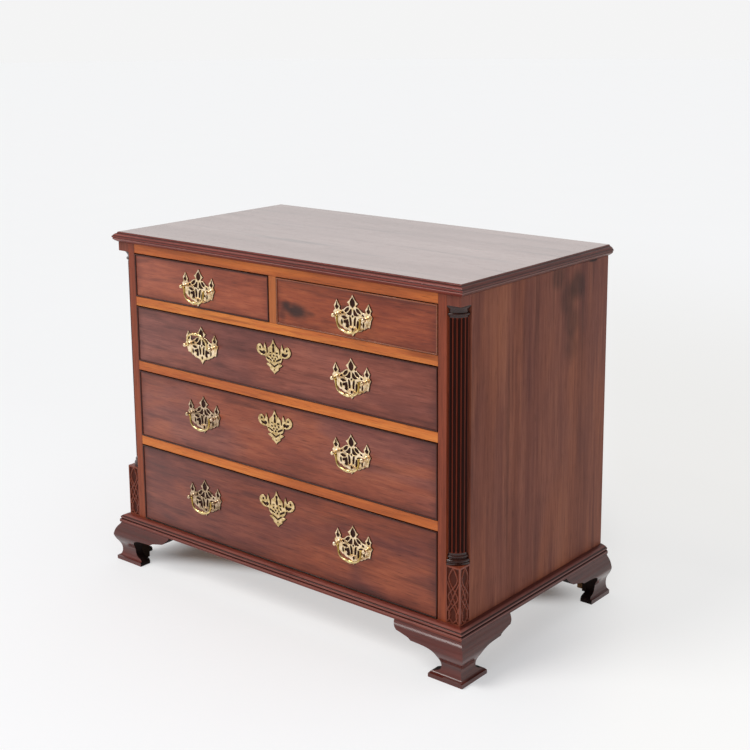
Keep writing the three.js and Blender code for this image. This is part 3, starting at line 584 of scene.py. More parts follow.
TOP_THICKNESS, BACK_OVERHANG = 24, 3
TOP_PROFILE = spline([
    (-1.0, TOP_THICKNESS), (-0.4, 23.6), (0.9, 23.0), (1.6, 22.0), (1.8, 20.9), (3.2, 20.2), (5.5, 19.2), (7.4, 17.6),
    (8.8, 16.0), (9.0, 15.2), (10.4, 14.6), (11.0, 13.3), (11.0, 11.5), (10.2, 10.5), (8.8, 9.9), (9.7, 9.0),
    (9.8, 7.8), (9.0, 6.4), (7.0, 4.4), (4.0, 2.2), (1.5, 0.6), (0.6, 0.3)], 4, (1, 4, 9, 14))


def top_board():
    back = CASE_DEPTH + BACK_OVERHANG
    form = Form()
    form.loft([[(x, y, CASE_TOP + up) for x, y in (
        (-HALF_WIDTH - out, back), (-HALF_WIDTH - out, -out), (HALF_WIDTH + out, -out), (HALF_WIDTH + out, back))]
        for out, up in TOP_PROFILE])
    form.piece("top_board_moulded", "case", [TOP, EDGE_X, EDGE_Y], "polished_top", ["top_board"], smooth=28,
               paint=lambda c: 0 if c.z > CASE_TOP + TOP_THICKNESS - 0.2 or c.y > back - 1 else 1 if c.y < 0 else 2)


BASE_HEIGHT = 20.7
BASE_PROFILE = spline([
    (1.5, BASE_HEIGHT), (4.0, 20.2), (8.0, 19.1), (12.0, 17.8), (14.0, 16.8), (14.1, 15.9), (15.6, 15.3), (16.8, 14.2),
    (17.2, 12.8), (17.0, 11.0), (16.2, 9.6), (15.2, 8.9), (17.1, 8.2), (18.6, 7.2), (19.0, 5.6), (19.0, 1.0),
    (18.4, 0.0)], 4, (4, 5, 11, 15))


def base_mouldings():
    profile = BASE_PROFILE + [(SEAM, 0.0), (SEAM, BASE_HEIGHT)]
    foot = FOOT_HEIGHT + SEAM
    front = Form().loft([[(side * (HALF_WIDTH + out), -out, foot + up) for out, up in profile] for side in (-1, 1)])
    front.piece("base_moulding_front_run", "case", BASE_X, "moulding_mahogany", ["base_moulding_front"], smooth=28)
    for side, name in SIDES:
        run = Form().loft([[(HALF_WIDTH + out, y if y else -out, foot + up) for out, up in profile]
                           for y in (0, CASE_DEPTH)])
        run.mirrored(side).piece(f"base_moulding_{name}_run", "case", BASE_Y, "moulding_mahogany",
                                 [f"base_moulding_{name}"], smooth=28)


# ---- feet

FOOT_BULGE = 30.5
BRACKET = 165.0
OGEE = section(FOOT_BULGE, FOOT_HEIGHT, [
    (0.52, 1), (0.62, 0.947), (0.75, 0.895), (0.85, 0.842), (0.92, 0.79), (0.965, 0.737), (1, 0.68), (0.97, 0.63),
    (0.905, 0.58), (0.82, 0.526), (0.715, 0.474), (0.625, 0.42), (0.565, 0.368), (0.535, 0.316), (0.525, 0.263),
    (0.535, 0.21), (0.585, 0.158), (0.65, 0.126), (0.755, 0.105), (0.84, 0.095), (0.84, 0)], (19,))
BRACKET_EDGE = section(BRACKET, FOOT_HEIGHT, [
    (0.94, 1), (0.935, 0.95), (0.9, 0.87), (0.86, 0.82), (0.76, 0.79), (0.66, 0.75), (0.62, 0.71), (0.46, 0.7),
    (0.36, 0.685), (0.29, 0.65), (0.245, 0.59), (0.215, 0.48), (0.2, 0.34), (0.21, 0.24), (0.245, 0.185),
    (0.31, 0.15), (0.35, 0.12), (0.365, 0.07), (0.365, 0)], (3, 6, 16))
PLAIN_EDGE = [(s * BRACKET, z * FOOT_HEIGHT) for s, z in ((0.8, 1), (0.7, 0.75), (0.36, 0.42), (0.3, 0.1), (0.3, 0))]
BRACKET_WALL = 4.0
GLUE_BLOCK, GLUE_BLOCK_INSET, GLUE_BLOCK_LIFT = 30.0, 2.2, 0.6
BACK_FOOT_EXTRA = 18.0


def foot_levels():
    heights = sorted({round(z, 3) for _, z in OGEE + BRACKET_EDGE + PLAIN_EDGE}, reverse=True)
    kept = [heights[0]]
    for z in heights[1:]:
        if kept[-1] - z > 0.25:
            kept.append(z)
    return kept


def front_foot_face(c):
    """0 on the front's outside, 1 on the side's, 2 on the cut edges and inside."""
    edge = level_value(BRACKET_EDGE, c.z)
    if abs(HALF_WIDTH - edge - abs(c.x)) < 0.8 or abs(c.y - edge) < 0.8:
        return 2
    if abs(c.x) < HALF_WIDTH and c.y > BRACKET_WALL - 0.1:
        return 2
    return 1 if abs(c.x) - HALF_WIDTH > -c.y + 0.01 else 0


def back_foot_face(c):
    """0 on the outside, 1 on the plain rear board, 2 on the cut edge and inside."""
    if c.y > CASE_DEPTH - SIDE_THICKNESS - 0.1 and abs(c.x) < HALF_WIDTH - 2:
        return 1
    cut = abs(CASE_DEPTH - BACK_FOOT_EXTRA - level_value(BRACKET_EDGE, c.z) - c.y) < 0.8
    return 2 if cut or abs(c.x) < HALF_WIDTH - BRACKET_WALL + 0.1 else 0


def feet():
    h, wall = HALF_WIDTH, BRACKET_WALL
    end, inside = CASE_DEPTH - BACK_FOOT_EXTRA, CASE_DEPTH - SIDE_THICKNESS
    for side, name in SIDES:
        front, back = [], []
        for z in foot_levels():
            out, edge, plain = (level_value(line, z) for line in (OGEE, BRACKET_EDGE, PLAIN_EDGE))
            front.append([(x, y, z) for x, y in (
                (h - edge, -out), (h + out, -out), (h + out, edge), (h - wall, edge), (h - wall, wall),
                (h - edge, wall))])
            back.append([(x, y, z) for x, y in (
                (h + out, end - edge), (h + out, CASE_DEPTH), (h - plain, CASE_DEPTH), (h - plain, inside),
                (h - wall, inside), (h - wall, end - edge))])
        for where, rings, side_wood, paint in (("front", front, [FOOT_X, FOOT_Y], front_foot_face),
                                               ("back", back, [FOOT_Y, SOFTWOOD_X], back_foot_face)):
            Form().loft(rings).mirrored(side).piece(
                f"foot_{where}_{name}_bracket", "case", side_wood + [CUT_EDGE], "moulding_mahogany",
                [f"foot_{where}_{name}"], smooth=30, paint=paint)
        near, far = GLUE_BLOCK_INSET, GLUE_BLOCK
        for where, y in (("front", (near, far)), ("back", (CASE_DEPTH - far, CASE_DEPTH - near))):
            glue = Form().box((h - far, h - near), y, (GLUE_BLOCK_LIFT, FOOT_HEIGHT)).mirrored(side)
            glue.piece(f"glue_block_{where}_{name}", "case", DARK_INSIDE, "plain_softwood", bevel=1.5)


# ---- corner posts and quarter columns

CARVED_DEPTH = 2.0
FRET_MARGIN, STRAND_WIDTH = 2.6, 3.5
# Centre lines of a blind fret of interlaced pointed loops, in shares of half the width and of the height. Each runs
# once as it stands and once mirrored.
FRET_STRANDS = (
    ((0, 0), (0.45, 0.05), (0.72, 0.13), (0.5, 0.22), (0.0, 0.31), (-0.55, 0.4), (-0.8, 0.47), (-0.55, 0.54),
     (0.0, 0.63), (0.5, 0.72), (0.72, 0.82), (0.4, 0.92), (0, 1)),
    ((1.0, 0.2), (0.5, 0.33), (0, 0.47), (-0.5, 0.61), (-1.0, 0.74)),
    ((1.0, 0.02), (0.78, 0.04), (0.5, 0.15), (0.9, 0.24), (1.0, 0.3)),
)


def ribbon(points, width, depth):
    """A raised strip with sloping sides along points in a plane; returns rings of (across, up, out)."""
    rings = []
    for i, point in enumerate(points):
        ahead = Vector(points[min(i + 1, len(points) - 1)]) - Vector(points[max(i - 1, 0)])
        across = Vector((-ahead.y, ahead.x)).normalized()
        ring = []
        for offset, out in ((-0.5, 0.0), (-0.27, 0.85), (0, 1.0), (0.27, 0.85), (0.5, 0.0)):
            middle = Vector(point) + across * offset * width
            ring.append((middle.x, middle.y, out * depth))
        rings.append(ring)
    return rings


def plinth_block(side, name):
    foot = FOOT_HEIGHT + SEAM
    inner, outer, deep, margin = STILE_FACE + 0.1, HALF_WIDTH, CARVED_DEPTH, FRET_MARGIN
    block = Form().box((inner, outer - deep), (deep, CORNER_RECESS), (foot, PLINTH_TOP))
    faces = [  # where (across, up, out of the ground) goes, and the face's span across
        (lambda a, b, o: (a, deep - o, b), (inner, outer)),
        (lambda a, b, o: (outer - deep + o, a, b), (deep, CORNER_RECESS)),
    ]
    bottom, top = BASE_LINE - 1.0 + margin * 1.4, PLINTH_TOP - margin * 1.4
    for put, (low, high) in faces:
        field = (low + margin, high - margin)
        for across, up in (((low, field[0]), (foot, PLINTH_TOP)), ((field[1], high), (foot, PLINTH_TOP)),
                           (field, (top, PLINTH_TOP)), (field, (foot, bottom))):
            block.loft([[put(a, b, o) for a, b in rectangle(across, up)] for o in (0, deep)])
        middle, half = (low + high) / 2, (high - low) / 2 - margin
        for sign in (-1, 1):
            for strand in FRET_STRANDS:
                line = spline([(middle + sign * a * half, bottom + v * (top - bottom)) for a, v in strand], 4)
                block.loft([[put(*corner) for corner in ring] for ring in ribbon(line, STRAND_WIDTH, deep)])
    block.mirrored(side)
    # faces on the sunk ground take the dark wood: painted shade
    block.piece(f"plinth_block_{name}", "case", [FRET, FRET_GROUND], "stile_mahogany",
                paint=lambda c: 1 if abs(c.y - deep) < 0.05 or abs(abs(c.x) - outer + deep) < 0.05 else 0)


def corner_posts():
    foot = FOOT_HEIGHT + SEAM
    plan = [(OPENING_EDGE, 0), (STILE_FACE, 0), (STILE_FACE, CORNER_RECESS), (INNER_SIDE, CORNER_RECESS),
            (INNER_SIDE, POST_DEPTH), (OPENING_EDGE, POST_DEPTH)]
    for side, name in SIDES:
        stile = Form().prism(plan, "z", (foot, CASE_TOP)).mirrored(side)
        stile.piece(f"stile_{name}", "case", STILE, "stile_mahogany", [f"corner_post_{name}"], bevel=0.5)
        plinth_block(side, name)
        frieze = Form().box((STILE_FACE + 0.1, HALF_WIDTH), (0, CORNER_RECESS), (TOP_RAIL_FOOT, CASE_TOP))
        frieze.mirrored(side).piece(f"frieze_block_{name}", "case", BLOCK, "stile_mahogany", bevel=0.5)


SHAFT_RADIUS = 28.0
FLUTES = 5
FLUTE_DEPTH = 2.9
CAPITAL_HEIGHT = 20.5
COLUMN_BASE_HEIGHT = 20.0
CAPITAL = section(SHAFT_RADIUS, CAPITAL_HEIGHT, [
    (1.0, 0), (1.06, 0.0), (1.11, 0.05), (1.13, 0.13), (1.11, 0.21), (1.06, 0.26), (1.0, 0.28), (1.0, 0.42),
    (1.04, 0.58), (1.11, 0.74), (1.13, 0.8), (1.13, 0.84), (1.19, 0.88), (1.19, 1.0)], (1, 5, 6, 10, 11, 12))
COLUMN_BASE = section(SHAFT_RADIUS, COLUMN_BASE_HEIGHT, [
    (1.19, 0), (1.19, 0.18), (1.14, 0.21), (1.14, 0.24), (1.17, 0.29), (1.19, 0.37), (1.17, 0.46), (1.13, 0.53),
    (1.06, 0.57), (1.01, 0.63), (1.02, 0.7), (1.07, 0.74), (1.09, 0.83), (1.07, 0.91), (1.02, 0.95), (1.0, 1.0)],
    (1, 2, 3, 7, 10, 14))


def quarter_ring(radius, z, flute=0.0, steps=60):
    """A quarter disc in plan, its arc cut by flutes of a given depth."""
    ring = [(0, 0, z)]
    for i in range(steps + 1):
        along = i / steps * FLUTES
        share = (along - math.floor(along) - 0.5) / 0.36
        hollow = math.sqrt(max(0.0, 1 - share * share)) if 0 < i < steps else 0.0
        angle = -math.pi / 2 * (1 - i / steps)
        r = radius - flute * hollow
        ring.append((r * math.cos(angle), r * math.sin(angle), z))
    return ring


def column_part(c):
    """The paint of a place on a column: 1 in a flute, where the darker wood is painted shade, 2 on the capital and the
    base, 0 elsewhere.
    """
    if not PLINTH_TOP + SEAM + COLUMN_BASE_HEIGHT < c.z < TOP_RAIL_FOOT - SEAM - CAPITAL_HEIGHT:
        return 2
    return int(math.hypot(abs(c.x) - STILE_FACE - SEAM, c.y - CORNER_RECESS + SEAM) < SHAFT_RADIUS - 0.9)


def quarter_columns():
    foot = PLINTH_TOP + SEAM
    head = TOP_RAIL_FOOT - SEAM
    low, high = foot + COLUMN_BASE_HEIGHT + 4, head - CAPITAL_HEIGHT - 4
    ends = [(low - 8, 0), (low, 0), (low + 0.5, 0.35), (low + 2, 0.68), (low + 4.5, 0.9), (low + 8, 1)]
    levels = ends + [(low + high - z, depth) for z, depth in reversed(ends)]
    for side, name in SIDES:
        form = Form().loft([quarter_ring(SHAFT_RADIUS, z, FLUTE_DEPTH * depth) for z, depth in levels])
        form.loft([quarter_ring(r, head - CAPITAL_HEIGHT + up, steps=30) for r, up in CAPITAL])
        form.loft([quarter_ring(r, foot + up, steps=30) for r, up in COLUMN_BASE])
        form.place(at(STILE_FACE + SEAM, CORNER_RECESS - SEAM, 0)).mirrored(side)
        form.piece(f"fluted_column_{name}", "case", [COLUMN, FLUTE, COLUMN_END], "column_mahogany",
                   [f"quarter_column_{name}"], smooth=32, paint=column_part)


# ---- carcass

NAIL_HEAD = [(0, 1.1), (1.8, 0.8), (3.0, 0.1), (3.1, -0.6), (0, -0.6)]
NAIL_INSET, NAIL_RISE, INNER_NAIL = 9, 30, 160
BACK_BOARDS = 3


def carcass():
    foot = FOOT_HEIGHT + SEAM
    height = (CASE_TOP - foot) / BACK_BOARDS
    nails = Form()
    for i in range(BACK_BOARDS):
        z = (foot + i * height + (BOARD_SHRINKAGE if i else 0),
             foot + (i + 1) * height - (BOARD_SHRINKAGE if i < BACK_BOARDS - 1 else 0))
        board = Form().box((-INNER_SIDE, INNER_SIDE), (BACK_FACE, CASE_DEPTH), z)
        board.piece(f"back_board_{i + 1}", "case", SOFTWOOD_X, "plain_softwood",
                    ["back_panel"] if i == 0 else [], bevel=1.2)
        for x in (-INNER_SIDE + NAIL_INSET, -INNER_NAIL, INNER_NAIL, INNER_SIDE - NAIL_INSET):
            for up in (z[0] + NAIL_RISE, z[1] - NAIL_RISE):
                nails.turned(NAIL_HEAD, at(x, CASE_DEPTH + 0.2, up) @ turn(-90, "X"), 8)
    nails.piece("back_nails", "case", IRON, "plain_brass", smooth=40)


CARRIED_OVER = (  # material, width of the eased edges, and nodes
    (SIDE[1], 0.6, "side_panel_right"),
    (SIDE[-1], 0.6, "side_panel_left"),
    (RAIL, 0.5, "top_rail rail_upper rail_middle rail_lower"),
    (DIVIDER, 0.5, "short_drawer_divider"),
    (SOFTWOOD_X, 0.8, "bottom_board dust_board_upper dust_board_middle dust_board_lower"),
    (LOCK_BRASS, 0.4, "drawer_2_lock drawer_3_lock drawer_4_lock "
                      "drawer_2_lock_bolt drawer_3_lock_bolt drawer_4_lock_bolt"),
)


def carried_over():
    for material, edge, names in CARRIED_OVER:
        for name in names.split():
            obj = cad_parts[name]
            obj.data.materials.clear()
            obj.data.materials.append(material)
            for face in obj.data.polygons:
                face.material_index = 0
            weld = obj.modifiers.new("weld", "WELD")
            weld.merge_threshold = 0.00001
            soften(obj, edge)


# ---- drawers

def rounded_slot(half, low, high, steps=6):
    """A slot with round ends, up the middle line."""
    return [(half * math.cos(a), centre + half * math.sin(a))
            for centre, start in ((low + half, math.pi), (high - half, 0.0))
            for a in (start + math.pi * i / steps for i in range(steps + 1))]


def tails(z, count, base, tip):
    """Dovetails up the end of a drawer side: the root and tip spans of each."""
    pitch = (z[1] - z[0]) / count
    return [((middle - pitch * base, middle + pitch * base), (middle - pitch * tip, middle + pitch * tip))
            for middle in (z[0] + (i + 0.5) * pitch for i in range(count))]


def box_height(z):
    """The span of a drawer's box, from that of its front."""
    return z[0] - GAP_BELOW + RUNNING_GAP, z[1] - SIDE_DROP


def pins(form, z, spans, end, tips_at, roots_at):
    """The pins across one end of a board, between the dovetails of the side that it meets."""
    low_root = low_tip = z[0]
    for root, tip in spans + [((z[1], z[1]), (z[1], z[1]))]:
        form.prism([(tips_at, low_tip), (roots_at, low_root), (roots_at, root[0]), (tips_at, tip[0])], "x", end)
        low_root, low_tip = root[1], tip[1]


def drawer_front(d, x, z):
    """The front: a board with its cock bead, its lock pocket, and the pins that the sides' dovetails fit."""
    name = d["name"]
    back = FACE + FRONT_THICKNESS
    outline = rectangle(x, z)
    left, right = x[0] + DRAWER_SIDE, x[1] - DRAWER_SIDE
    core = [(left, z[0]), (right, z[0]), (right, z[1])]
    if "key" in d:
        middle = d["z"][1] - d["key"] + KEYHOLE_RISE
        keyhole = rounded_slot(KEYHOLE_HALF_WIDTH, middle - KEYHOLE_HALF_HEIGHT, middle + KEYHOLE_HALF_HEIGHT)
        lap = pierced("lap", [outline, keyhole], LAP, 0.3, 0)
        board = Form().add(lap, at(0, FACE + LAP / 2, 0) @ UPRIGHT)
        pocket = z[1] - POCKET_DEPTH
        core += [(POCKET_HALF, z[1]), (POCKET_HALF, pocket), (-POCKET_HALF, pocket), (-POCKET_HALF, z[1])]
    else:
        board = Form().prism(outline, "y", (FACE, FACE + LAP))
    board.prism(core + [(left, z[1])], "y", (FACE + LAP, back))
    height = z[1] - z[0]
    spans = tails(box_height(z), 2 if height < 120 else 3 if height < 150 else 4, 0.3, 0.4)
    for end in ((x[0], left), (right, x[1])):
        pins(board, z, spans, end, FACE + LAP, back)
    board.piece(f"{name}_front_board", name, FRONT[name], "drawer_mahogany", [f"{name}_front"], bevel=0.35)
    half = BEAD_WIDTH / 2
    curve = [(half * (1 - math.cos(a)), FACE - BEAD_STAND + half - half * math.sin(a))
             for a in (math.pi * step / 8 for step in range(9))]
    rings = [[(u, y, v) for u, v in rectangle((x[0] + a, x[1] - a), (z[0] + a, z[1] - a))]
             for a, y in [(0.0, FACE + 2.0), *curve, (BEAD_WIDTH, FACE + 2.0)]]
    # the right top drawer's bead takes the paler copy: painted highlight
    Form().loft(rings + rings[:1], ends=False).piece(
        f"{name}_cock_bead", name, HIGHLIT_BEAD if name == "drawer_1_right" else BEAD, "drawer_mahogany", smooth=50)
    return spans


def drawer_box(d, x, z, spans):
    name = d["name"]
    z = box_height(z)
    front, lap, behind = FACE + FRONT_THICKNESS, FACE + LAP + 0.1, DRAWER_END - DRAWER_SIDE
    back_spans = tails(z, len(spans), 0.28, 0.38)
    outline = [(front, z[0])]
    for root, tip in spans:
        outline += [(front, root[0]), (lap, tip[0]), (lap, tip[1]), (front, root[1])]
    outline += [(front, z[1]), (behind, z[1])]
    for root, tip in reversed(back_spans):
        outline += [(behind, root[1]), (DRAWER_END, tip[1]), (DRAWER_END, tip[0]), (behind, root[0])]
    outline.append((behind, z[0]))
    ends = ((x[0], x[0] + DRAWER_SIDE), (x[1] - DRAWER_SIDE, x[1]))
    for end, (_, label) in zip(ends, SIDES):
        Form().prism(outline, "x", end).piece(f"{name}_side_{label}", name, SOFTWOOD_Y, "plain_softwood",
                                              [f"{name}_box"] if label == "left" else [], bevel=0.4)
    inner = (x[0] + DRAWER_SIDE + 0.1, x[1] - DRAWER_SIDE - 0.1)
    under, over = z[0] + BOTTOM_LIFT, z[0] + BOTTOM_LIFT + BOTTOM_THICKNESS
    back = Form().box(inner, (behind, DRAWER_END), (over + 0.2, z[1]))
    for end in ends:
        pins(back, z, back_spans, end, DRAWER_END, behind)
    back.piece(f"{name}_back", name, SOFTWOOD_X, "plain_softwood", bevel=0.4)
    boards = 3 if inner[1] - inner[0] > 500 else 2
    width = (DRAWER_END - 1 - front) / boards
    bottom = Form()
    for i in range(boards):
        bottom.box(inner, (front + 0.2 + i * width, front + (i + 1) * width - BOARD_SHRINKAGE), (under, over))
    bottom.piece(f"{name}_bottom", name, SOFTWOOD_X, "plain_softwood", bevel=0.6)


def drawers():
    for d in DRAWERS:
        x = (d["x"][0] + GAP_BESIDE, d["x"][1] - GAP_BESIDE)
        z = (d["z"][0] + GAP_BELOW, d["z"][1] - GAP_ABOVE)
        drawer_box(d, x, z, drawer_front(d, x, z))


# ---- brasses

PLATE_OUTLINE = [
    (0, 45), (2, 41), (4.2, 38), (7.3, 34), (10.5, 31), (14.5, 28), (11.5, 25.4), (9, 22.5), (9.5, 20), (14.5, 19),
    (19, 16.4), (23.5, 13), (29, 10.2), (33.5, 10), (35.4, 12.4), (33.8, 17.2), (36.5, 21), (39.8, 25.5), (42.6, 31),
    (45.6, 25.5), (48, 21.5), (50.6, 17.4), (48.2, 13), (48.4, 9), (52.6, 4), (51, 0), (48.6, -4), (48, -9),
    (46.6, -13), (45.2, -18.6), (40.5, -18.4), (36, -20.6), (31.5, -24.4), (27.5, -24.6), (23, -28), (17.5, -29.8),
    (13.5, -29.6), (9.5, -31.8), (6.5, -33), (4, -36.2), (0, -41.6)]
PLATE_TIPS = (5, 7, 13, 15, 18, 21, 24, 29, 32, 36)
PLATE_HOLES = [  # the right half of a middle hole or the right one of a pair, and its sharp bends
    ([(0, 40.9), (2.9, 36.4), (6, 31.9), (7, 27.5), (6, 23), (3.1, 19.6), (0, 17.5)],),
    ([(42.6, 27.5), (44.4, 23.1), (44.2, 19.8), (47.8, 15.8), (44.9, 11.7), (42.4, 10), (39.7, 12), (37, 15.8),
      (40.6, 19.8), (40.6, 23.1)], (2, 3, 7, 8)),
    ([(8.8, 17.3), (12.3, 17.7), (16.6, 15.6), (20.8, 11.5), (22.6, 7.9), (18.7, 6.5), (13.4, 8.8),
      (9.9, 12.8)], (4,)),
    ([(2, 14.4), (5.3, 15.3), (8, 11.3), (11.9, 7), (17.6, 3.2), (11, 1.4), (5.2, 1.4), (2.2, 4.9)], (1, 4)),
    ([(24.4, 7.8), (28.6, 7), (31, 4.4), (30, 2), (24.4, 2.5)], (1, 2, 3, 4)),
    ([(0, 3.1), (2.5, 0.4), (0, -2.9)],),
    ([(14.2, -4.8), (18.8, -1.9), (25.3, -1), (31, -3.4), (25.6, -7.2), (19, -7.1)], (3,)),
    ([(5.8, -1.3), (9.3, -0.8), (9.1, -6.6), (8.3, -13.4), (7.6, -20.8), (2.6, -20), (2.3, -12.2),
      (3.4, -5.6)], (1, 4, 5)),
    ([(12.3, -6.9), (17.6, -9.1), (25, -11.6), (24.2, -16), (18.6, -15.6), (17.8, -19.4), (19.4, -23.6),
      (13, -25.6), (10.1, -20.8), (10.5, -13)], (2, 4, 6)),
    ([(27.6, -9.8), (30.6, -9.4), (31.6, -13.4), (30.8, -18.2), (28.2, -21.2), (26.4, -16)], (4,)),
    ([(0, -23), (3.2, -27.2), (0, -32)],),
]
ESCUTCHEON_OUTLINE = [
    (0, 38.6), (1.8, 34.4), (3.6, 30.4), (6.4, 26.4), (9, 23.2), (12.6, 20.6), (16.2, 18), (16.8, 13.5), (17.2, 6),
    (20.2, 6), (21, 12), (22, 18), (23.6, 23), (25.3, 28.7), (26.8, 24), (28.4, 19.6), (29.4, 16.4), (31.8, 15.2),
    (32.6, 18.4), (34.8, 22), (39.6, 24.6), (45, 23.4), (49.4, 19.2), (51, 13.6), (49.6, 8), (45.6, 3.4), (40, 0.4),
    (33, -1), (26.8, -0.6), (24.4, -2.6), (23.6, -6.4), (21.4, -10.4), (17.8, -12.8), (14.4, -14), (14.8, -15.6),
    (18.6, -15.8), (24, -18), (18.4, -21.6), (12.6, -24.6), (13, -28.8), (9, -31), (5.2, -33.6), (2.6, -35.8),
    (0, -38.6)]
ESCUTCHEON_TIPS = (6, 8, 9, 13, 17, 33, 34, 36, 38, 39)
ESCUTCHEON_HOLES = [
    ([(0, 28.8), (2.8, 27.1), (3.2, 23.9), (1.8, 21.3), (2.9, 17.4), (3.4, 13), (2.4, 9.6), (0, 8.3)],),
    ([(23.9, 7.5), (26.1, 3.6), (31, 1.9), (36.6, 3.3), (41.4, 7), (43.2, 10.2), (37.8, 9.7), (32.9, 8.7),
      (28, 11.2)], (5,)),
    ([(39.7, 20), (42.8, 16.8), (39.7, 13.6), (36.7, 16.8)],),
    ([(0, 5.1), (2.7, 2.3), (0, -0.5)],),
    ([(4.7, -1.5), (7.5, -4.3), (4.7, -7.1), (1.9, -4.3)], (1, 2, 3)),
    ([(0, -6.7), (2.7, -9.5), (0, -12.3)],),
    ([(7.5, 4.1), (11.9, 3.4), (13.1, -1.2), (8.9, -1.7)], (1, 2, 3)),
    ([(21.7, -1.5), (22.5, -4.7), (15.1, -8.6), (7.1, -11.5), (6.1, -8.3), (13.4, -4.7)], (1, 3, 4)),
    ([(5.7, 9.9), (13.2, 10.2), (12.8, 6.5), (6.9, 6)], (1, 2, 3)),
    ([(0, -20.4), (5, -17.4), (11.8, -13.8), (13.4, -16.2), (6.6, -20.4), (0, -24.5)], (2, 3)),
    ([(0, -27.8), (1.9, -29.4), (0, -31)],),
]


def plate_rings(outline, tips, holes):
    """The rings of a plate: its outline, and its holes, of which a middle one is drawn from x = 0."""
    rings = [both_halves(spline(outline, 3, tips))]
    for line, *bends in holes:
        if line[0][0] == 0:
            rings.append(both_halves(spline(line, 3, *bends)))
        else:
            ring = spline([*line, line[0]], 3, *bends)[:-1]
            rings += [ring, [(-x, y) for x, y in ring]]
    return rings


def bail_form():
    """A bail hanging from its pins, round x at z = 0, with a turned swelling at its middle."""
    half = [  # across, up and radius
        (39.1, 0, 1.7), (36, 0, 1.7), (33, 0, 1.8), (31.6, -0.7, 2.5), (31.0, -2.4, 2.7), (31.0, -6.4, 2.2),
        (30.3, -13.4, 2.2), (28.2, -19.4, 2.3), (24.4, -24.2, 2.4), (18.6, -27.8, 2.5), (13.0, -29.6, 2.5),
        (9.4, -30.4, 2.5), (8.0, -30.6, 3.6), (6.6, -30.8, 2.7), (4.0, -31.0, 3.5), (1.6, -31.0, 3.9)]
    line = spline(half + [(-x, z, r) for x, z, r in reversed(half)], 3)
    return Form().tube([(x, 0, z) for x, z, _ in line], [r for *_, r in line], 14)


def post_profile():
    joint = math.asin(2.6 / BALL_RADIUS)
    profile = [(0, -0.4), (5.2, -0.4), (5.4, 0.6), (4.6, 1.4), (3.4, 2.0), (2.8, 3.4), (2.7, 5.4), (3.6, 6.2),
               (3.7, 7.0), (2.6, 7.8)]
    for i in range(13):
        a = joint + (math.pi - joint) * i / 12
        profile.append((BALL_RADIUS * math.sin(a), PIVOT_STAND - BALL_RADIUS * math.cos(a)))
    return profile[:-1] + [(0, PIVOT_STAND + BALL_RADIUS)]


def plate_and_its_shadow(name, outline, tips, holes):
    """A pierced plate, standing, and behind it a dark sheet that paints its shadow on the wood."""
    rings = plate_rings(outline, tips, holes)
    plate = pierced(name, rings, PLATE_THICKNESS, 0.4)
    plate.transform(at(0, -PLATE_THICKNESS / 2, 0) @ UPRIGHT)
    shade_sheet = pierced(name + "_wax", rings[:1], SHADOW_SHEET_THICKNESS, 0.05, spread=SHADOW_SHEET_SPREAD)
    shade_sheet.transform(UPRIGHT)
    return plate, shade_sheet


def standing(x, y, up, lean):
    """A place on a drawer front, leaning by some degrees."""
    return at(x, y, up) @ turn(-lean, "Y")


def brasses():
    plate, plate_shadow_sheet = plate_and_its_shadow("plate", PLATE_OUTLINE, PLATE_TIPS, PLATE_HOLES)
    guard, guard_shadow_sheet = plate_and_its_shadow("guard", ESCUTCHEON_OUTLINE, ESCUTCHEON_TIPS, ESCUTCHEON_HOLES)
    posts = Form()
    for side in (-1, 1):
        posts.turned(post_profile(), at(side * POST_SPACING / 2, -PLATE_THICKNESS, 0) @ UPRIGHT, 20)
    posts = posts.mesh("posts")
    bail = bail_form().mesh("bail")
    for d in DRAWERS:
        name, top = d["name"], d["z"][1]
        for suffix, x, drop, lean in d["handles"]:
            handle, up = name + suffix, top - drop
            where = standing(x, PLATE_BACK, up, lean)
            Form().add(plate, where).add(posts, where).piece(
                f"{handle}_pierced_plate", name, DULL_BRASS if handle in DULL_PLATES else BRASS, "gilt_brass",
                [f"{handle}_backplate"], smooth=35)
            # a dark sheet shifted right and down behind the plate: painted shadow
            Form().add(plate_shadow_sheet, at(*SHADOW_SHEET_SHIFT) @ standing(x, FACE, up, lean)).piece(
                f"{handle}_old_wax", name, SHADOW_SHEET_WOOD, "drawer_mahogany")
            swing, brass = standing(x, PIVOT_Y, up, lean), BAIL_BRASS
            if handle == RAISED_BAIL:
                swing, brass = swing @ turn(-RAISED_ANGLE, "X"), RAISED_BRASS
            Form().add(bail, swing).piece(f"{handle}_swan_bail", f"{handle}_bail", brass, "gilt_brass",
                                          [f"{handle}_bail"], smooth=60)
        if "key" in d:
            up, lean = top - d["key"], d["turn"]
            size = Matrix.Diagonal((*LOW_GUARD, 1.0)) if name == "drawer_4" else Matrix.Identity(4)
            # a dark sheet shifted right and down behind the escutcheon: painted shadow
            Form().add(guard_shadow_sheet, at(*SHADOW_SHEET_SHIFT) @ standing(GUARD_X, FACE, up, lean) @ size).piece(
                f"{name}_guard_old_wax", name, SHADOW_SHEET_WOOD, "drawer_mahogany")
            Form().add(guard, standing(GUARD_X, PLATE_BACK, up, lean) @ size).piece(
                f"{name}_pierced_escutcheon", name, GUARD_BRASS, "gilt_brass", [f"{name}_escutcheon"], smooth=35)


# ---- studio

PAPER = (0.93, 0.93, 0.93)
FLOOR_RADIUS = 30000.0
AMBIENT = (0.56, 0.575, 0.6, 1.0)
BACKDROP = (0.907, 0.907, 0.907, 1.0)
ROOM = (0.3, 0.29, 0.28, 1.0)
ROOM_WAY = (0.6, -0.75, 0.2)
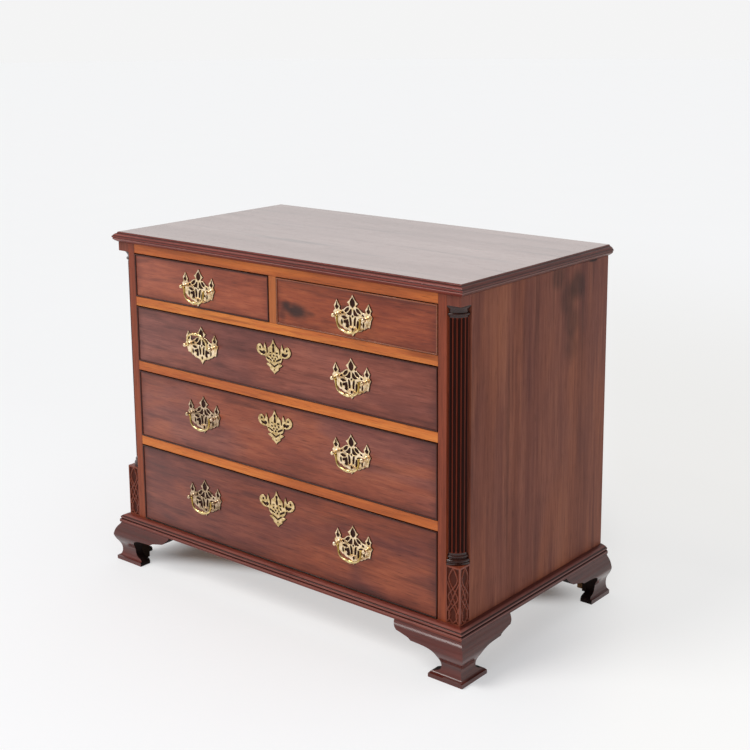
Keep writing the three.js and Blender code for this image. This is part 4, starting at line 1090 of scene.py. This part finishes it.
# What a polished face sees at each height: brightness of the sheet by the sine of the ray's climb
SHEET_BY_CLIMB = ((0.0, 0.72), (0.135, 0.72), (0.205, 0.98), (0.36, 0.9), (0.62, 0.34), (1.0, 0.3))
SUN_STRENGTH = 1.75
SUN_SIZE = 27.0
SUN_COLOUR = (1.0, 0.985, 0.96)
SUN_AIM = (0.5, 0.62, -0.95)
FLOOR_LIFT = (1.09, 1.095, 1.11)
FAR_LIFT = (0.915, 0.915, 0.915)
RIGHT_LIFT = (1.0, 0.995, 0.98)
RIGHT_FAR_LIFT = (0.82, 0.81, 0.785)
FLOOR_SHARE = 0.38
RIGHT_SHARE = 0.28
EDGE_LIFT = 0.16
DEEP_DROP = 0.38
DEEP_SLANT = 0.44


def right_of_chest(g, place):
    """1 on the floor to the right of the chest and behind it there, 0 elsewhere and far away."""
    return g.band(place["X"] + place["Y"] * 0.6, 0.45, 0.78) * (1.0 - g.band(place["Y"], 1.6, 5.0))


def floor_share(g, place, right):
    """How much of the lift each place gets: less in the dark under the chest, more just inside its front edge
    and in the soft shadow on its right."""
    under = (1.0 - g.band(abs(place["X"]), 0.4, 0.52)) * (1.0 - g.band(place["Y"], 0.2, 0.3))
    deep = g.band(place["Y"] - place["X"] * DEEP_SLANT, -0.07, 0.02)
    edge = g.band(place["Y"], -0.34, -0.24) * (1.0 - deep)
    return under * (edge * EDGE_LIFT - deep * DEEP_DROP) + FLOOR_SHARE + right * RIGHT_SHARE


def pale_floor():
    """Pale paper that keeps the chest's shadow, lifted towards white where a camera or a polished face sees it."""
    g = Graph(bpy.data.materials.new("floor_paper"))
    here = g.node("TexCoord")["Object"]
    paper = g.ramp(g.noise(here, 3.0), [(0.35, [c * 0.995 for c in PAPER]), (0.65, PAPER)])
    g.surface({"Base Color": paper, "Roughness": 0.9, "Specular IOR Level": 0.1})
    place = g.node("SeparateXYZ", {0: here})
    right = right_of_chest(g, place)
    tone, right_tone = (g.ramp(g.band(place["Y"], *span), [(0.0, near), (1.0, far)]) for span, near, far in (
        ((-1.1, 0.7), FLOOR_LIFT, FAR_LIFT), ((0.45, 1.15), RIGHT_LIFT, RIGHT_FAR_LIFT)))
    lift = g.node("Emission", {"Color": g.mix("MIX", right, tone, right_tone), "Strength": 1.0})[0]
    path = g.node("LightPath")
    seen = g.maths("MAXIMUM", path["Is Camera Ray"],
                   g.maths("MAXIMUM", path["Is Glossy Ray"], path["Is Transmission Ray"]))
    blend = g.node("MixShader", {0: seen * floor_share(g, place, right), 1: g.shader[0], 2: lift})[0]
    g.put(g.tree.nodes["Material Output"].inputs["Surface"], blend)
    return g.owner


def studio():
    floor = Form().prism([(FLOOR_RADIUS * c, FLOOR_RADIUS * s) for c, s in circle(96)], "z", (-20.0, 0.0))
    mesh = floor.mesh("studio_floor")
    mesh.transform(Matrix.Scale(MM, 4))
    mesh.materials.append(pale_floor())
    linked("studio_floor", mesh)

    world = bpy.data.worlds.new("studio")
    bpy.context.scene.world = world
    g = Graph(world)
    g.tree.nodes.clear()
    path, way = g.node("LightPath"), g.node("TexCoord")["Generated"]
    # A polished face sees the white sheet behind and beside the chest and the dimmer room in front of it
    sheet = g.ramp(g.node("SeparateXYZ", {0: way})["Z"], [(sine, (tone, tone, tone)) for sine, tone in SHEET_BY_CLIMB])
    facing = g.vector("DOT_PRODUCT", way, ROOM_WAY)["Value"]
    light, room, backdrop = (g.node("Background", {"Color": colour})[0] for colour in (
        AMBIENT, g.mix("MIX", g.band(facing, 0.2, 0.75), sheet, ROOM), BACKDROP))
    glossy = g.node("MixShader", {0: path["Is Glossy Ray"], 1: light, 2: room})[0]
    seen = g.maths("MAXIMUM", path["Is Camera Ray"], path["Is Transmission Ray"])
    g.node("OutputWorld", {"Surface": g.node("MixShader", {0: seen, 1: glossy, 2: backdrop})[0]})

    lamp = bpy.data.lights.new("soft_key", "SUN")
    lamp.energy, lamp.angle, lamp.color = SUN_STRENGTH, math.radians(SUN_SIZE), SUN_COLOUR
    key = linked("soft_key", lamp)
    key.rotation_mode = "QUATERNION"
    key.rotation_quaternion = Vector(SUN_AIM).normalized().to_track_quat("-Z", "Y")


CAMERA_AT = (1995.363, -2038.136, 1340.519)
CAMERA_RIGHT = (0.778699, 0.627386, -0.003807)
CAMERA_UP = (-0.120505, 0.155518, 0.980455)
CAMERA_BACK = (0.615716, -0.763021, 0.196705)
FOCAL_PIXELS = 1360.07
AXIS_PIXEL = (400.0, 275.0)
FRAME_PIXELS = 750.0


def camera():
    data = bpy.data.cameras.new("camera")
    data.sensor_width, data.clip_end = 36.0, 200.0
    data.lens = FOCAL_PIXELS / FRAME_PIXELS * data.sensor_width
    data.shift_x = 0.5 - AXIS_PIXEL[0] / FRAME_PIXELS
    data.shift_y = AXIS_PIXEL[1] / FRAME_PIXELS - 0.5
    obj = linked("camera", data)
    x, y, z = CAMERA_AT
    axes = Matrix((CAMERA_RIGHT, CAMERA_UP, CAMERA_BACK)).transposed().to_4x4()
    obj.matrix_world = at(x * MM, (y + FRONT_Y) * MM, z * MM) @ axes
    bpy.context.scene.camera = obj


camera()
studio()
top_board()
base_mouldings()
feet()
corner_posts()
quarter_columns()
carcass()
carried_over()
drawers()
brasses()
bpy.context.scene.view_settings.view_transform = "Standard"

bpy.context.view_layer.update()
